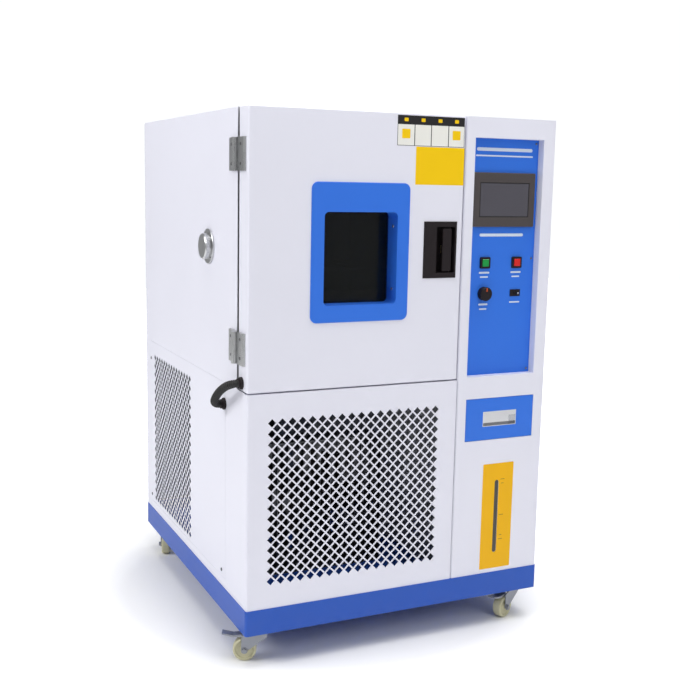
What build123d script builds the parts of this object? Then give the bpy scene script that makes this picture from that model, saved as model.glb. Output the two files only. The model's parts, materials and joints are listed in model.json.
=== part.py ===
"""Environmental test chamber on casters.

Frame: millimetres, +Z up, +X to the right of someone facing the door, -Y towards that
person. The origin is on the floor, under the middle of the whole chamber's box.
"""
import math
import os

from build123d import *

os.makedirs("parts", exist_ok=True)

# Cabinet
cabinet_width = 900.0
cabinet_depth = 1000.0
body_height = 1280.0
base_height = 68.0
caster_height = 92.0
sheet = 1.5
base_sheet = 3.0
base_proud = 2.0
base_corner_radius = 8.0
base_flange = 84.0
panel_sheet = 2.0
corner_radius = 6.0
seam = 3.0
slip = 0.3

# Door and the insulated chamber behind it
door_width = 608.5
door_thickness = 64.0
door_gap = 14.0
lower_front_height = 569.5
sill_gap = 4.0
door_skin = 1.5
door_edge = 2.0
chamber_width = 400.0
chamber_height = 500.0
working_depth = 400.0
duct_depth = 160.0
wall_insulation = 100.0
liner_sheet = 1.5
liner_corner = 12.0
shell_sheet = 2.0

# Window in the door
window_width = 279.0
window_height = 357.0
window_from_left = 306.5
window_centre_height = 1083.0
window_radius = 18.0
window_proud = 3.0
window_edge = 1.5
glass_width = 208.0
glass_height = 238.0
glass_rise = -15.5
glass_radius = 12.0
window_wall = 2.0
pane_thickness = 4.0
pane_depth = 50.0
pane_gap = 1.0

# Door seal
gasket_width = 22.0
gasket_inset = 26.0

# Flush latch
latch_width = 100.0
latch_height = 150.0
latch_from_left = 490.5
latch_centre_height = 1088.0
latch_plate = 3.0
latch_depth = 30.0
latch_wall = 2.0
recess_from_left = 38.0
recess_margin = 14.0
paddle_from_left = 57.0
paddle_width = 27.0
paddle_height = 112.0
paddle_thickness = 9.0
paddle_pin_radius = 3.0
running_gap = 0.08
bolt_width = 16.0
bolt_height = 20.0
bolt_length = 42.0
bolt_depth = 24.0
bolt_reach = 1.5
bolt_clearance = 1.0
bolt_travel = 8.0
latch_edge = 1.2
latch_right_margin = 6.0
paddle_edge = 2.0
paddle_pin_inset = 4.0

# Hinges
hinge_height = 82.0
hinge_heights = (842.0, 1325.0)
hinge_leaf_length = 57.0
hinge_leaf = 7.0
hinge_axis_offset = 9.5
barrel_radius = 8.5
hinge_pin_radius = 4.0
knuckle_count = 5
knuckle_gap = 0.4
leaf_notch = 9.2
leaf_bevel = 5.0

# Test port in the left wall
port_from_front = 310.0
port_height = 1083.0
port_flange_diameter = 95.0
port_flange_thickness = 5.0
port_bore = 50.0
port_tube_wall = 1.5
plug_cap_diameter = 70.0
plug_cap_thickness = 16.0
plug_length = 60.0
plug_edge = 3.0
port_edge = 1.0

# Cable conduit from the cabinet to the door
conduit_diameter = 22.0
gland_diameter = 32.0
gland_flange = 6.0
conduit_standoff = 34.0
conduit_bow = 3.0
conduit_bow_forward = 8.0
conduit_bow_up = 6.0
conduit_sides = 12
conduit_steps = 10
conduit_bend_share = 0.45
gland_edge = 1.5
gland_lip = 1.5
cabinet_gland_from_front = 176.0
cabinet_gland_height = 674.0
door_gland_from_front = 40.0
door_gland_height = 754.0

# Grilles
front_grille_width = 476.0
front_grille_height = 420.0
front_grille_from_left = 305.5
front_grille_columns = 11
front_grille_rows = 10
side_grille_width = 392.0
side_grille_height = 476.0
side_grille_from_front = 694.0
side_grille_columns = 9
side_grille_rows = 11
grille_centre_height = 443.5
grille_web = 7.0

# Left machine panel
machine_panel_start = 166.0
machine_panel_end = 946.0
machine_panel_bottom = 186.0
machine_panel_gap = 0.8
machine_panel_lip = 12.0

# Front pans
front_return = 20.0

# Control recess and what stands in it
recess_width = 221.0
recess_height = 650.0
recess_centre_height = 1061.0
recess_from_right = 149.5
recess_depth = 25.0
panel_lap = 6.0
hmi_width = 199.0
hmi_height = 147.0
hmi_centre_height = 1221.5
hmi_proud = 8.0
hmi_radius = 3.0
hmi_body_depth = 44.0
hmi_body_margin = 6.0
screen_width = 160.0
screen_height = 94.0
screen_thickness = 1.5
button_pitch = 103.5
button_row_height = 1049.5
dial_row_height = 964.0
bezel_size = 31.0
bezel_proud = 6.0
button_size = 20.0
button_proud = 2.0
button_length = 4.7
button_stem_diameter = 10.0
button_stem_length = 22.0
switch_barrel_diameter = 24.0
switch_barrel_length = 34.0
dial_diameter = 38.0
dial_height = 18.0
dial_spindle_diameter = 8.0
toggle_plate_width = 33.0
toggle_plate_height = 19.0
toggle_diameter = 6.0
toggle_length = 16.0
toggle_plate_thickness = 2.0
button_edge = 1.0
dial_edge = 3.0
dial_notch = 3.0
dial_notch_depth = 2.0
dial_notch_start = 4.0
dial_spindle_length = 20.0
glass_seat = 0.5

# Water drawer and its guides
drawer_width = 222.0
drawer_height = 119.0
drawer_centre_height = 613.0
drawer_front_depth = 12.0
drawer_tray_width = 196.0
drawer_tray_height = 88.0
drawer_tray_depth = 250.0
drawer_sheet = 1.5
drawer_seam = 1.0
drawer_offset = 2.5
guide_wall = 2.0
guide_lip = 14.0
pull_width = 110.0
pull_height = 42.5
pull_depth = 18.0
pull_rim = 4.0
pull_sheet = 1.5

# Water tank and sight tube
tank_width = 210.0
tank_depth = 220.0
tank_height = 250.0
tank_from_front = 12.0
sight_height = 214.0
sight_width = 12.8
sight_centre_height = 326.0
sight_flange = 6.0
tank_wall = 3.0

# Air circulation
shelf_height = 1030.0
shelf_rod = 5.0
shelf_rod_count = 9
shelf_inset = 4.0
shelf_depth = 370.0
rail_width = 10.0
rail_thickness = 3.0
rail_end = 20.0
shelf_end = 22.0
baffle_sheet = 1.5
baffle_margin = 40.0
inlet_diameter = 190.0
fan_diameter = 210.0
fan_width = 46.0
fan_blade_count = 10
fan_inlet_gap = 24.0
fan_blade_inset = 28.0
fan_blade_length = 50.0
fan_blade_angle = 35.0
coil_gap = 6.0
coil_lift = 10.0
slot_rows = 3
fan_blade = 2.5
fan_hub_diameter = 40.0
fan_shaft_diameter = 14.0
shaft_gap = 2.0
motor_diameter = 130.0
motor_length = 130.0
motor_flange = 170.0
motor_flange_thickness = 6.0
coil_width = 300.0
coil_height = 110.0
coil_depth = 60.0
coil_fins = 9
fin_thickness = 2.0
tube_diameter = 10.0

# Refrigeration below the chamber
condenser_width = 420.0
condenser_height = 380.0
condenser_depth = 44.0
condenser_from_front = 210.0
condenser_from_left = 70.0
condenser_fins = 12
condenser_plate = 2.0
shroud_depth = 50.0
condenser_fan_diameter = 300.0
condenser_blade_count = 5
condenser_blade_width = 26.0
condenser_hub_diameter = 70.0
bracket_width = 30.0
stub_diameter = 16.0
compressor_diameter = 190.0
compressor_height = 280.0
compressor_from_left = 260.0
compressor_from_front = 640.0
compressor_foot = 230.0
compressor_foot_thickness = 8.0
compressor_edge = 45.0
blade_standoff = 8.0
shroud_clearance = 6.0
condenser_blade_chord = 90.0
condenser_blade_sheet = 3.0
condenser_blade_root = 4.0
condenser_blade_angle = 14.0

# Rear cover vents
vent_length = 300.0
vent_height = 8.0
vent_pitch = 26.0
vent_rows = 6
rear_vent_heights = (420.0, 1083.0)

# Casters
wheel_diameter = 63.0
wheel_width = 28.0
axle_diameter = 10.0
axle_gap = 0.08
caster_trail = 34.0
caster_inset = 52.0
fork_gap = 1.0
fork_wall = 3.0
fork_top = 26.0
caster_plate_size = 76.0
caster_plate_thickness = 4.0
swivel_ring_diameter = 50.0
swivel_ring_height = 8.0
swivel_gap = 0.4
kingpin_diameter = 12.0
swivel_headings = {"front_left": 157.0, "front_right": 203.0, "rear_left": 250.0, "rear_right": 295.0}
pedal_width = 24.0
pedal_reach = 61.0
pedal_pin_diameter = 6.0
pedal_drop = 9.6
pedal_barrel_wall = 2.0
pedal_root = 4.0
pedal_bend_reach = 30.0
pedal_rise = 3.0
pedal_tip = 4.0
pedal_bend_top = 1.0
pivot_ahead = 2.0
fork_nose = 16.0
fork_nose_drop = 8.0
fork_eye = 9.0
fork_heel_drop = 10.0
axle_proud = 2.0
wheel_edge = 2.5
kingpin_proud = 2.0

# Places that follow from the sizes above
side_reach = conduit_standoff + conduit_diameter / 2
x_left = (side_reach - cabinet_width) / 2
x_right = x_left + cabinet_width
y_front = -cabinet_depth / 2
y_back = y_front + cabinet_depth
z_base = caster_height
z_body = z_base + base_height
z_top = z_body + body_height
z_sill = z_body + lower_front_height
z_door = z_sill + sill_gap
y_door_back = y_front + door_thickness
y_frame = y_door_back + door_gap
x_door_right = x_left + door_width
x_column = x_door_right + seam
x_chamber = (x_left + x_door_right) / 2
z_chamber = (z_door + z_top) / 2
z_seam = z_sill + sill_gap / 2
y_liner_back = y_frame + liner_sheet + working_depth + duct_depth
y_baffle = y_frame + liner_sheet + working_depth
y_shell_back = y_liner_back + wall_insulation
x_shell_right = x_door_right + seam / 2


def block(x_range, y_range, z_range, mode=Mode.ADD):
    """Add or cut a cuboid given by its range along each axis."""
    (x0, x1), (y0, y1), (z0, z1) = x_range, y_range, z_range
    with Locations(((x0 + x1) / 2, (y0 + y1) / 2, (z0 + z1) / 2)):
        Box(x1 - x0, y1 - y0, z1 - z0, mode=mode)


def around(centre, size):
    """Give the range of a size about its centre."""
    return (centre - size / 2, centre + size / 2)


def rod(start, direction, radius, length, mode=Mode.ADD):
    """Add or cut a round bar from a point along a direction."""
    with BuildSketch(Plane(origin=start, z_dir=direction)) as section:
        Circle(radius)
    extrude(section.sketch, amount=length, mode=mode)


def diamonds(pitch_x, pitch_y, columns, rows, web):
    """Draw the grille's lattice of diamond holes in the sketch that is open."""
    side = math.hypot(pitch_x, pitch_y) / 2 - web
    with GridLocations(pitch_x, pitch_y, columns, rows):
        Rectangle(side, side, rotation=45)
    with GridLocations(pitch_x, pitch_y, columns - 1, rows - 1):
        Rectangle(side, side, rotation=45)


def save(piece, name):
    """Label a finished piece and write it."""
    piece.part.label = name
    export_step(piece.part, f"parts/{name}.step")


# Base: a ring of folded channel with the machine floor welded on it
base_x = (x_left - base_proud, x_right + base_proud)
base_y = (y_front - base_proud, y_back + base_proud)
with BuildPart() as base_frame:
    block(base_x, base_y, (z_base, z_body))
    fillet(base_frame.edges().filter_by(Axis.Z), base_corner_radius)
    block((base_x[0] + base_sheet, base_x[1] - base_sheet), (base_y[0] + base_sheet, base_y[1] - base_sheet),
          (z_base + base_sheet, z_body - base_sheet), Mode.SUBTRACT)
    block((base_x[0] + base_flange, base_x[1] - base_flange),
          (base_y[0] + base_flange, base_y[1] - base_flange),
          (z_base, z_base + base_sheet), Mode.SUBTRACT)
save(base_frame, "base_frame")

# Left side wall: one sheet stepped back beside the door, with a lipped opening for its panel
panel_y = (y_front + machine_panel_start, y_front + machine_panel_end)
panel_z = (machine_panel_bottom, z_seam)
lip_y = (panel_y[0] + machine_panel_lip, panel_y[1] - machine_panel_lip)
lip_z = (panel_z[0] + machine_panel_lip, panel_z[1] - machine_panel_lip)
port_y = y_front + port_from_front
gland_y = y_front + cabinet_gland_from_front
with BuildPart() as left_side_wall:
    with BuildSketch(Plane.YZ.offset(x_left)):
        with BuildLine():
            Polyline((y_front + front_return, z_body), (y_back - sheet, z_body),
                     (y_back - sheet, z_top - sheet),
                     (y_frame, z_top - sheet), (y_frame, z_seam), (y_front + front_return,
                                                                   z_seam), close=True)
        make_face()
        with Locations(((panel_y[0] + panel_y[1]) / 2, (panel_z[0] + panel_z[1]) / 2)):
            Rectangle(panel_y[1] - panel_y[0], panel_z[1] - panel_z[0], mode=Mode.SUBTRACT)
        with Locations((port_y, port_height)):
            Circle(port_bore / 2, mode=Mode.SUBTRACT)
    extrude(amount=sheet)
    lip_x = (x_left + sheet, x_left + 2 * sheet)
    block(lip_x, (panel_y[0] - machine_panel_lip, panel_y[1] + machine_panel_lip),
          (panel_z[0] - machine_panel_lip, panel_z[1] + machine_panel_lip))
    block(lip_x, lip_y, lip_z, Mode.SUBTRACT)
save(left_side_wall, "left_side_wall")

# Left machine panel: a flat cover with the diamond grille, set into the side wall
with BuildPart() as left_machine_panel:
    with BuildSketch(Plane.YZ.offset(x_left)):
        with Locations(((panel_y[0] + panel_y[1]) / 2, (panel_z[0] + panel_z[1]) / 2)):
            Rectangle(panel_y[1] - panel_y[0] - 2 * machine_panel_gap,
                      panel_z[1] - panel_z[0] - 2 * machine_panel_gap)
    extrude(amount=sheet)
    with BuildSketch(Plane.YZ.offset(x_left)):
        with Locations((y_front + side_grille_from_front, grille_centre_height)):
            diamonds(side_grille_width / (side_grille_columns - 1),
                     side_grille_height / (side_grille_rows - 1),
                     side_grille_columns, side_grille_rows, grille_web)
    extrude(amount=sheet, mode=Mode.SUBTRACT)
save(left_machine_panel, "left_machine_panel")

# Right side wall, top cover and rear cover
with BuildPart() as right_side_wall:
    block((x_right - sheet, x_right), (y_frame, y_back - sheet), (z_body, z_top - sheet))
save(right_side_wall, "right_side_wall")

with BuildPart() as top_cover:
    block((x_left, x_right), (y_frame, y_back), (z_top - sheet, z_top))
    fillet(top_cover.edges().filter_by(Axis.Z).group_by(Axis.Y)[-1], corner_radius)
save(top_cover, "top_cover")

with BuildPart() as rear_cover:
    block((x_left, x_right), (y_back - sheet, y_back), (z_body, z_top - sheet))
    for vent_centre in rear_vent_heights:
        with BuildSketch(Plane.XZ.offset(-y_back)):
            with Locations((x_chamber, vent_centre)):
                with GridLocations(0, vent_pitch, 1, vent_rows):
                    Rectangle(vent_length, vent_height)
        extrude(amount=sheet, mode=Mode.SUBTRACT)
save(rear_cover, "rear_cover")

# Front lower panel: a folded pan with the large diamond grille
with BuildPart() as front_lower_panel:
    block((x_left, x_door_right), (y_front, y_front + front_return), (z_body, z_sill))
    corner = front_lower_panel.edges().filter_by(Axis.Z).group_by(Axis.Y)[0].sort_by(Axis.X)[0]
    fillet(corner, corner_radius)
    back = front_lower_panel.faces().sort_by(Axis.Y)[-1]
    offset(amount=-sheet, openings=back)
    with BuildSketch(Plane.XZ.offset(-y_front)):
        with Locations((x_left + front_grille_from_left, grille_centre_height)):
            diamonds(front_grille_width / (front_grille_columns - 1),
                     front_grille_height / (front_grille_rows - 1),
                     front_grille_columns, front_grille_rows, grille_web)
    extrude(amount=-sheet, mode=Mode.SUBTRACT)
save(front_lower_panel, "front_lower_panel")

# Control column: a deep pan with the control recess, the drawer opening and the gauge slot
recess_x = around(x_right - recess_from_right, recess_width)
recess_z = around(recess_centre_height, recess_height)
drawer_x = around(x_right - recess_from_right + drawer_offset, drawer_width)
drawer_z = around(drawer_centre_height, drawer_height)
x_gauge = (drawer_x[0] + drawer_x[1]) / 2
with BuildPart() as control_column:
    block((x_column, x_right), (y_front, y_frame), (z_body, z_top))
    fillet(control_column.edges().filter_by(Axis.Z).group_by(Axis.Y)[0], corner_radius)
    offset(amount=-sheet, openings=control_column.faces().sort_by(Axis.Y)[-1])
    block((recess_x[0] - sheet, recess_x[1] + sheet), (y_front + sheet, y_front + recess_depth),
          (recess_z[0] - sheet, recess_z[1] + sheet))
    block(recess_x, (y_front, y_front + recess_depth), recess_z, Mode.SUBTRACT)
    block((drawer_x[0] - drawer_seam, drawer_x[1] + drawer_seam), (y_front, y_front + sheet),
          (drawer_z[0] - drawer_seam, drawer_z[1] + drawer_seam), Mode.SUBTRACT)
    with BuildSketch(Plane.XZ.offset(-y_front)):
        with Locations((x_gauge, sight_centre_height)):
            SlotOverall(sight_height, sight_width, rotation=90)
    extrude(amount=-sheet, mode=Mode.SUBTRACT)
save(control_column, "control_column")

# Control panel at the bottom of the recess, with cut-outs for what it carries
y_panel = y_front + recess_depth
x_recess = (recess_x[0] + recess_x[1]) / 2
x_start = x_recess - button_pitch / 2
x_stop = x_recess + button_pitch / 2
hmi_body_width = hmi_width - 2 * hmi_body_margin
hmi_body_height = hmi_height - 2 * hmi_body_margin
with BuildPart() as control_panel:
    with BuildSketch(Plane.XZ.offset(-y_panel)):
        with Locations((x_recess, recess_centre_height)):
            Rectangle(recess_width + 2 * panel_lap, recess_height + 2 * panel_lap)
        with Locations((x_recess, hmi_centre_height)):
            Rectangle(hmi_body_width + 2 * slip, hmi_body_height + 2 * slip, mode=Mode.SUBTRACT)
        with Locations((x_start, button_row_height), (x_stop, button_row_height)):
            Circle(switch_barrel_diameter / 2 + slip, mode=Mode.SUBTRACT)
        with Locations((x_start, dial_row_height), (x_stop, dial_row_height)):
            Circle(dial_spindle_diameter / 2 + slip, mode=Mode.SUBTRACT)
    extrude(amount=-panel_sheet)
save(control_panel, "control_panel")

# Touch screen: bezel and rear housing in one moulding, glass let into the bezel
with BuildPart() as hmi_housing:
    block(around(x_recess, hmi_width), (y_panel - hmi_proud, y_panel), around(hmi_centre_height, hmi_height))
    fillet(hmi_housing.edges().filter_by(Axis.Y), hmi_radius)
    chamfer(hmi_housing.faces().sort_by(Axis.Y)[0].edges(), hmi_radius / 2)
    block(around(x_recess, hmi_body_width), (y_panel, y_panel + hmi_body_depth),
          around(hmi_centre_height, hmi_body_height))
    block(around(x_recess, screen_width), (y_panel - hmi_proud,
                                           y_panel - hmi_proud + screen_thickness + glass_seat),
          around(hmi_centre_height, screen_height), Mode.SUBTRACT)
save(hmi_housing, "hmi_housing")

with BuildPart() as hmi_glass:
    y_glass = y_panel - hmi_proud + glass_seat
    block(around(x_recess, screen_width), (y_glass, y_glass + screen_thickness),
          around(hmi_centre_height, screen_height))
save(hmi_glass, "hmi_glass")

# Switch bezels: two square ones for the push buttons, a round seat and a flat plate below
button_hole = button_size + 2 * slip
y_toggle = y_panel - toggle_plate_thickness
toggle_radius = toggle_diameter / 2 - 1
with BuildPart() as switch_bezels:
    for x_switch in (x_start, x_stop):
        block(around(x_switch, bezel_size), (y_panel - bezel_proud, y_panel),
              around(button_row_height, bezel_size))
        fillet(switch_bezels.edges().filter_by(Axis.Y).filter_by(
            lambda edge: abs(edge.center().X - x_switch) < bezel_size), hmi_radius)
        rod((x_switch, y_panel, button_row_height), (0, 1, 0), switch_barrel_diameter / 2,
            switch_barrel_length)
        block(around(x_switch, button_hole), (y_panel - bezel_proud, y_panel),
              around(button_row_height, button_hole), Mode.SUBTRACT)
        rod((x_switch, y_panel, button_row_height), (0, 1, 0), button_stem_diameter / 2 + slip,
            switch_barrel_length, Mode.SUBTRACT)
    block(around(x_stop, toggle_plate_width), (y_toggle, y_panel),
          around(dial_row_height, toggle_plate_height))
    with Locations((x_stop, y_toggle, dial_row_height)):
        Sphere(toggle_diameter, arc_size1=-90, arc_size2=90)
    block(around(x_stop, 2 * (toggle_radius + slip)), (y_panel - 2 * toggle_diameter, y_toggle),
          around(dial_row_height, 2 * toggle_diameter), Mode.SUBTRACT)
    block(around(x_stop, toggle_plate_width), (y_panel, y_panel + toggle_diameter),
          around(dial_row_height, toggle_plate_height), Mode.SUBTRACT)
save(switch_bezels, "switch_bezels")

# Push buttons, over-temperature dial and toggle
button_start = y_panel - bezel_proud - button_proud
for name, x_switch in (("start_button", x_start), ("stop_button", x_stop)):
    with BuildPart() as button:
        block(around(x_switch, button_size), (button_start, button_start + button_length),
              around(button_row_height, button_size))
        rod((x_switch, button_start + button_length, button_row_height), (0, 1, 0), button_stem_diameter / 2,
            button_stem_length)
        chamfer(button.faces().sort_by(Axis.Y)[0].edges(), button_edge)
    save(button, name)

with BuildPart() as limit_dial:
    rod((x_start, y_panel - slip, dial_row_height), (0, -1, 0), dial_diameter / 2, dial_height)
    chamfer(limit_dial.edges().filter_by(GeomType.CIRCLE).sort_by(Axis.Y)[0], dial_edge)
    block(around(x_start, dial_notch),
          (y_panel - slip - dial_height, y_panel - slip - dial_height + dial_notch_depth),
          (dial_row_height + dial_notch_start, dial_row_height + dial_diameter / 2), Mode.SUBTRACT)
    rod((x_start, y_panel - slip, dial_row_height), (0, 1, 0), dial_spindle_diameter / 2,
        dial_spindle_length)
save(limit_dial, "limit_dial")

toggle_pivot = (x_stop, y_toggle - slip - toggle_radius, dial_row_height)
with BuildPart() as toggle_switch:
    with Locations(toggle_pivot):
        Sphere(toggle_radius)
    rod(toggle_pivot, (0, -1, 0), toggle_radius, toggle_length - toggle_radius)
    chamfer(toggle_switch.edges().filter_by(GeomType.CIRCLE).sort_by(Axis.Y)[0], toggle_radius / 2)
save(toggle_switch, "toggle_switch")

# Water drawer: tray and front in one folding, with a cup pull let into the front
tray_x = around(x_gauge, drawer_tray_width)
tray_z = (drawer_z[0] + guide_lip, drawer_z[0] + guide_lip + drawer_tray_height)
tray_y = (y_front + drawer_front_depth, y_front + drawer_front_depth + drawer_tray_depth)
pull_x = around(x_gauge, pull_width)
pull_z = around(drawer_centre_height, pull_height)
with BuildPart() as water_drawer:
    block(drawer_x, (y_front, tray_y[0]), drawer_z)
    offset(amount=-drawer_sheet, openings=water_drawer.faces().sort_by(Axis.Y)[-1])
    block(tray_x, tray_y, tray_z)
    block((tray_x[0] + drawer_sheet, tray_x[1] - drawer_sheet),
          (tray_y[0] + drawer_sheet, tray_y[1] - drawer_sheet),
          (tray_z[0] + drawer_sheet, tray_z[1]), Mode.SUBTRACT)
    block(pull_x, (y_front, y_front + drawer_sheet), pull_z, Mode.SUBTRACT)
    block((tray_x[0] + drawer_sheet, tray_x[1] - drawer_sheet),
          (y_front + drawer_sheet, tray_y[0] + drawer_sheet),
          (pull_z[0] - pull_rim, pull_z[1] + pull_rim), Mode.SUBTRACT)
    block((pull_x[0] - pull_rim, pull_x[1] + pull_rim),
          (y_front + drawer_sheet, y_front + pull_depth + pull_sheet),
          (pull_z[0] - pull_rim, tray_z[1]), Mode.SUBTRACT)
    block(tray_x, (y_front + drawer_sheet, tray_y[0]), (tray_z[0], tray_z[0] + drawer_sheet))
save(water_drawer, "water_drawer")

with BuildPart() as drawer_pull:
    block(pull_x, (y_front, y_front + pull_depth), pull_z)
    offset(amount=-pull_sheet, openings=drawer_pull.faces().sort_by(Axis.Y)[0])
    block((pull_x[0] + pull_sheet, pull_x[1] - pull_sheet), (y_front, y_front + pull_sheet),
          (pull_z[1] - pull_height / 3, pull_z[1] - pull_sheet))
save(drawer_pull, "drawer_pull")

# Drawer guides: a trough fixed behind the column, on two feet that stand on the tank
guide_x = (tray_x[0] - slip - guide_wall, tray_x[1] + slip + guide_wall)
guide_y = (y_front + drawer_front_depth + slip, tray_y[1] + guide_lip)
guide_z = (tray_z[0] - slip - guide_wall, tray_z[0] + drawer_tray_height / 2)
tank_x = around(x_gauge, tank_width)
tank_y = (y_front + tank_from_front, y_front + tank_from_front + tank_depth)
tank_z = (z_body + sheet, z_body + sheet + tank_height)
with BuildPart() as drawer_guides:
    block(guide_x, guide_y, guide_z)
    block((guide_x[0] + guide_wall, guide_x[1] - guide_wall), guide_y, (guide_z[0] + guide_wall, guide_z[1]),
          Mode.SUBTRACT)
    for y_foot in (tank_y[0] + guide_lip, tank_y[1] - guide_lip):
        block(tank_x, (y_foot, y_foot + guide_wall), (tank_z[1], guide_z[0]))
save(drawer_guides, "drawer_guides")

with BuildPart() as water_tank:
    block(tank_x, tank_y, tank_z)
    fillet(water_tank.edges().filter_by(Axis.Z), corner_radius)
    offset(amount=-tank_wall, openings=water_tank.faces().sort_by(Axis.Z)[-1])
save(water_tank, "water_tank")

# Sight tube: a clear slot-shaped window from the column's face back to the tank's wall
with BuildPart() as sight_tube:
    with BuildSketch(Plane.XZ.offset(-y_front - slip)):
        with Locations((x_gauge, sight_centre_height)):
            SlotOverall(sight_height - 2 * slip, sight_width - 2 * slip, rotation=90)
    extrude(amount=-(sheet - slip))
    with BuildSketch(Plane.XZ.offset(-y_front - sheet)):
        with Locations((x_gauge, sight_centre_height)):
            SlotOverall(sight_height + 2 * sight_flange, sight_width + 2 * sight_flange, rotation=90)
    extrude(amount=-(tank_from_front - sheet))
save(sight_tube, "sight_tube")

# Chamber: stainless liner with its front flange, foam round it, and the shell that holds both
liner_x = around(x_chamber, chamber_width + 2 * liner_sheet)
liner_z = around(z_chamber, chamber_height + 2 * liner_sheet)
cavity_x = around(x_chamber, chamber_width)
cavity_z = around(z_chamber, chamber_height)
flange_x = (x_left + sheet, x_shell_right - shell_sheet)
flange_z = (z_seam + shell_sheet, z_top - sheet)
y_liner = (y_frame, y_liner_back + liner_sheet)
with BuildPart() as inner_liner:
    block(liner_x, y_liner, liner_z)
    fillet(inner_liner.edges().filter_by(Axis.Y), liner_corner)
    offset(amount=-liner_sheet, openings=inner_liner.faces().sort_by(Axis.Y)[0])
    with BuildSketch(Plane.XZ.offset(-y_frame)):
        with Locations(((flange_x[0] + flange_x[1]) / 2, (flange_z[0] + flange_z[1]) / 2)):
            Rectangle(flange_x[1] - flange_x[0], flange_z[1] - flange_z[0])
        with Locations((x_chamber, z_chamber)):
            RectangleRounded(chamber_width, chamber_height, liner_corner - liner_sheet, mode=Mode.SUBTRACT)
    extrude(amount=-liner_sheet)
    rod((x_chamber, y_liner_back, z_chamber), (0, 1, 0), fan_shaft_diameter / 2 + shaft_gap, 2 * liner_sheet,
        Mode.SUBTRACT)
    rod((x_left + 2 * sheet, port_y, port_height), (1, 0, 0), port_bore / 2, wall_insulation + liner_corner,
        Mode.SUBTRACT)
    for x_rail in (cavity_x[0], cavity_x[1] - rail_width):
        block((x_rail, x_rail + rail_width), (y_frame + rail_end, y_baffle - rail_end),
              (shelf_height - rail_thickness, shelf_height))
save(inner_liner, "inner_liner")

foam_x = (x_left + 2 * sheet + slip, flange_x[1])
foam_y = (y_frame + liner_sheet, y_shell_back)
foam_z = (flange_z[0], flange_z[1])
with BuildPart() as insulation:
    block(foam_x, foam_y, foam_z)
    block(liner_x, (foam_y[0], y_liner[1]), liner_z, Mode.SUBTRACT)
    rod((x_chamber, y_liner_back, z_chamber), (0, 1, 0), fan_shaft_diameter / 2 + shaft_gap,
        2 * wall_insulation,
        Mode.SUBTRACT)
    rod((x_left, port_y, port_height), (1, 0, 0), port_bore / 2, liner_x[0] - x_left + liner_corner,
        Mode.SUBTRACT)
save(insulation, "insulation")

with BuildPart() as chamber_shell:
    block((x_left + sheet, x_shell_right), (y_frame, y_shell_back + shell_sheet), (z_seam, z_top - sheet))
    block((x_left + sheet, x_shell_right - shell_sheet), (y_frame, y_shell_back),
          (flange_z[0], z_top - sheet),
          Mode.SUBTRACT)
    block((x_left + sheet, x_left + 2 * sheet + slip), (y_frame, y_shell_back + shell_sheet),
          (z_seam, z_seam + machine_panel_lip + sheet), Mode.SUBTRACT)
    rod((x_chamber, y_liner_back, z_chamber), (0, 1, 0), fan_shaft_diameter / 2 + shaft_gap,
        2 * wall_insulation,
        Mode.SUBTRACT)
save(chamber_shell, "chamber_shell")

# Air duct behind the working space: baffle, coil, fan and its motor
with BuildPart() as air_baffle:
    with BuildSketch(Plane.XZ.offset(-y_baffle)):
        with Locations((x_chamber, z_chamber)):
            RectangleRounded(chamber_width - slip, chamber_height - slip, liner_corner)
            Circle(inlet_diameter / 2, mode=Mode.SUBTRACT)
        with Locations((x_chamber, cavity_z[1] - baffle_margin), (x_chamber, cavity_z[0] + baffle_margin)):
            with GridLocations(0, vent_pitch / 2, 1, slot_rows):
                Rectangle(coil_width, vent_height / 2, mode=Mode.SUBTRACT)
    extrude(amount=-baffle_sheet)
save(air_baffle, "air_baffle")

fan_start = y_baffle + baffle_sheet + fan_inlet_gap
fan_y = (fan_start, fan_start + fan_width)
with BuildPart() as circulation_fan:
    rod((x_chamber, fan_y[1], z_chamber), (0, 1, 0), fan_diameter / 2, fan_blade)
    rod((x_chamber, fan_y[0], z_chamber), (0, 1, 0), fan_hub_diameter / 2, fan_width)
    with BuildSketch(Plane.XZ.offset(-fan_y[0])):
        with Locations((x_chamber, z_chamber)):
            with PolarLocations(fan_diameter / 2 - fan_blade_inset, fan_blade_count):
                Rectangle(fan_blade_length, fan_blade, rotation=fan_blade_angle)
    extrude(amount=-fan_width)
    rod((x_chamber, fan_y[1], z_chamber), (0, 1, 0), fan_shaft_diameter / 2,
        y_shell_back + shell_sheet - fan_y[1] - slip)
save(circulation_fan, "circulation_fan")

with BuildPart() as fan_motor:
    y_motor = y_shell_back + shell_sheet
    block(around(x_chamber, motor_flange), (y_motor, y_motor + motor_flange_thickness),
          around(z_chamber, motor_flange))
    rod((x_chamber, y_motor, z_chamber), (0, 1, 0), motor_diameter / 2, motor_length)
    chamfer(fan_motor.faces().sort_by(Axis.Y)[-1].edges(), corner_radius)
save(fan_motor, "fan_motor")

coil_y = (y_liner_back - coil_depth - coil_gap, y_liner_back)
coil_z = (cavity_z[0] + coil_lift, cavity_z[0] + coil_lift + coil_height)
with BuildPart() as evaporator:
    for index in range(coil_fins):
        x_fin = x_chamber + (index / (coil_fins - 1) - 0.5) * coil_width - fin_thickness / 2
        block((x_fin, x_fin + fin_thickness), coil_y, coil_z)
    for z_tube in (coil_z[0] + coil_height / 4, coil_z[1] - coil_height / 4):
        rod((x_chamber - coil_width / 2, (coil_y[0] + coil_y[1]) / 2, z_tube), (1, 0, 0),
            tube_diameter / 2, coil_width)
save(evaporator, "evaporator")

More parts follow.
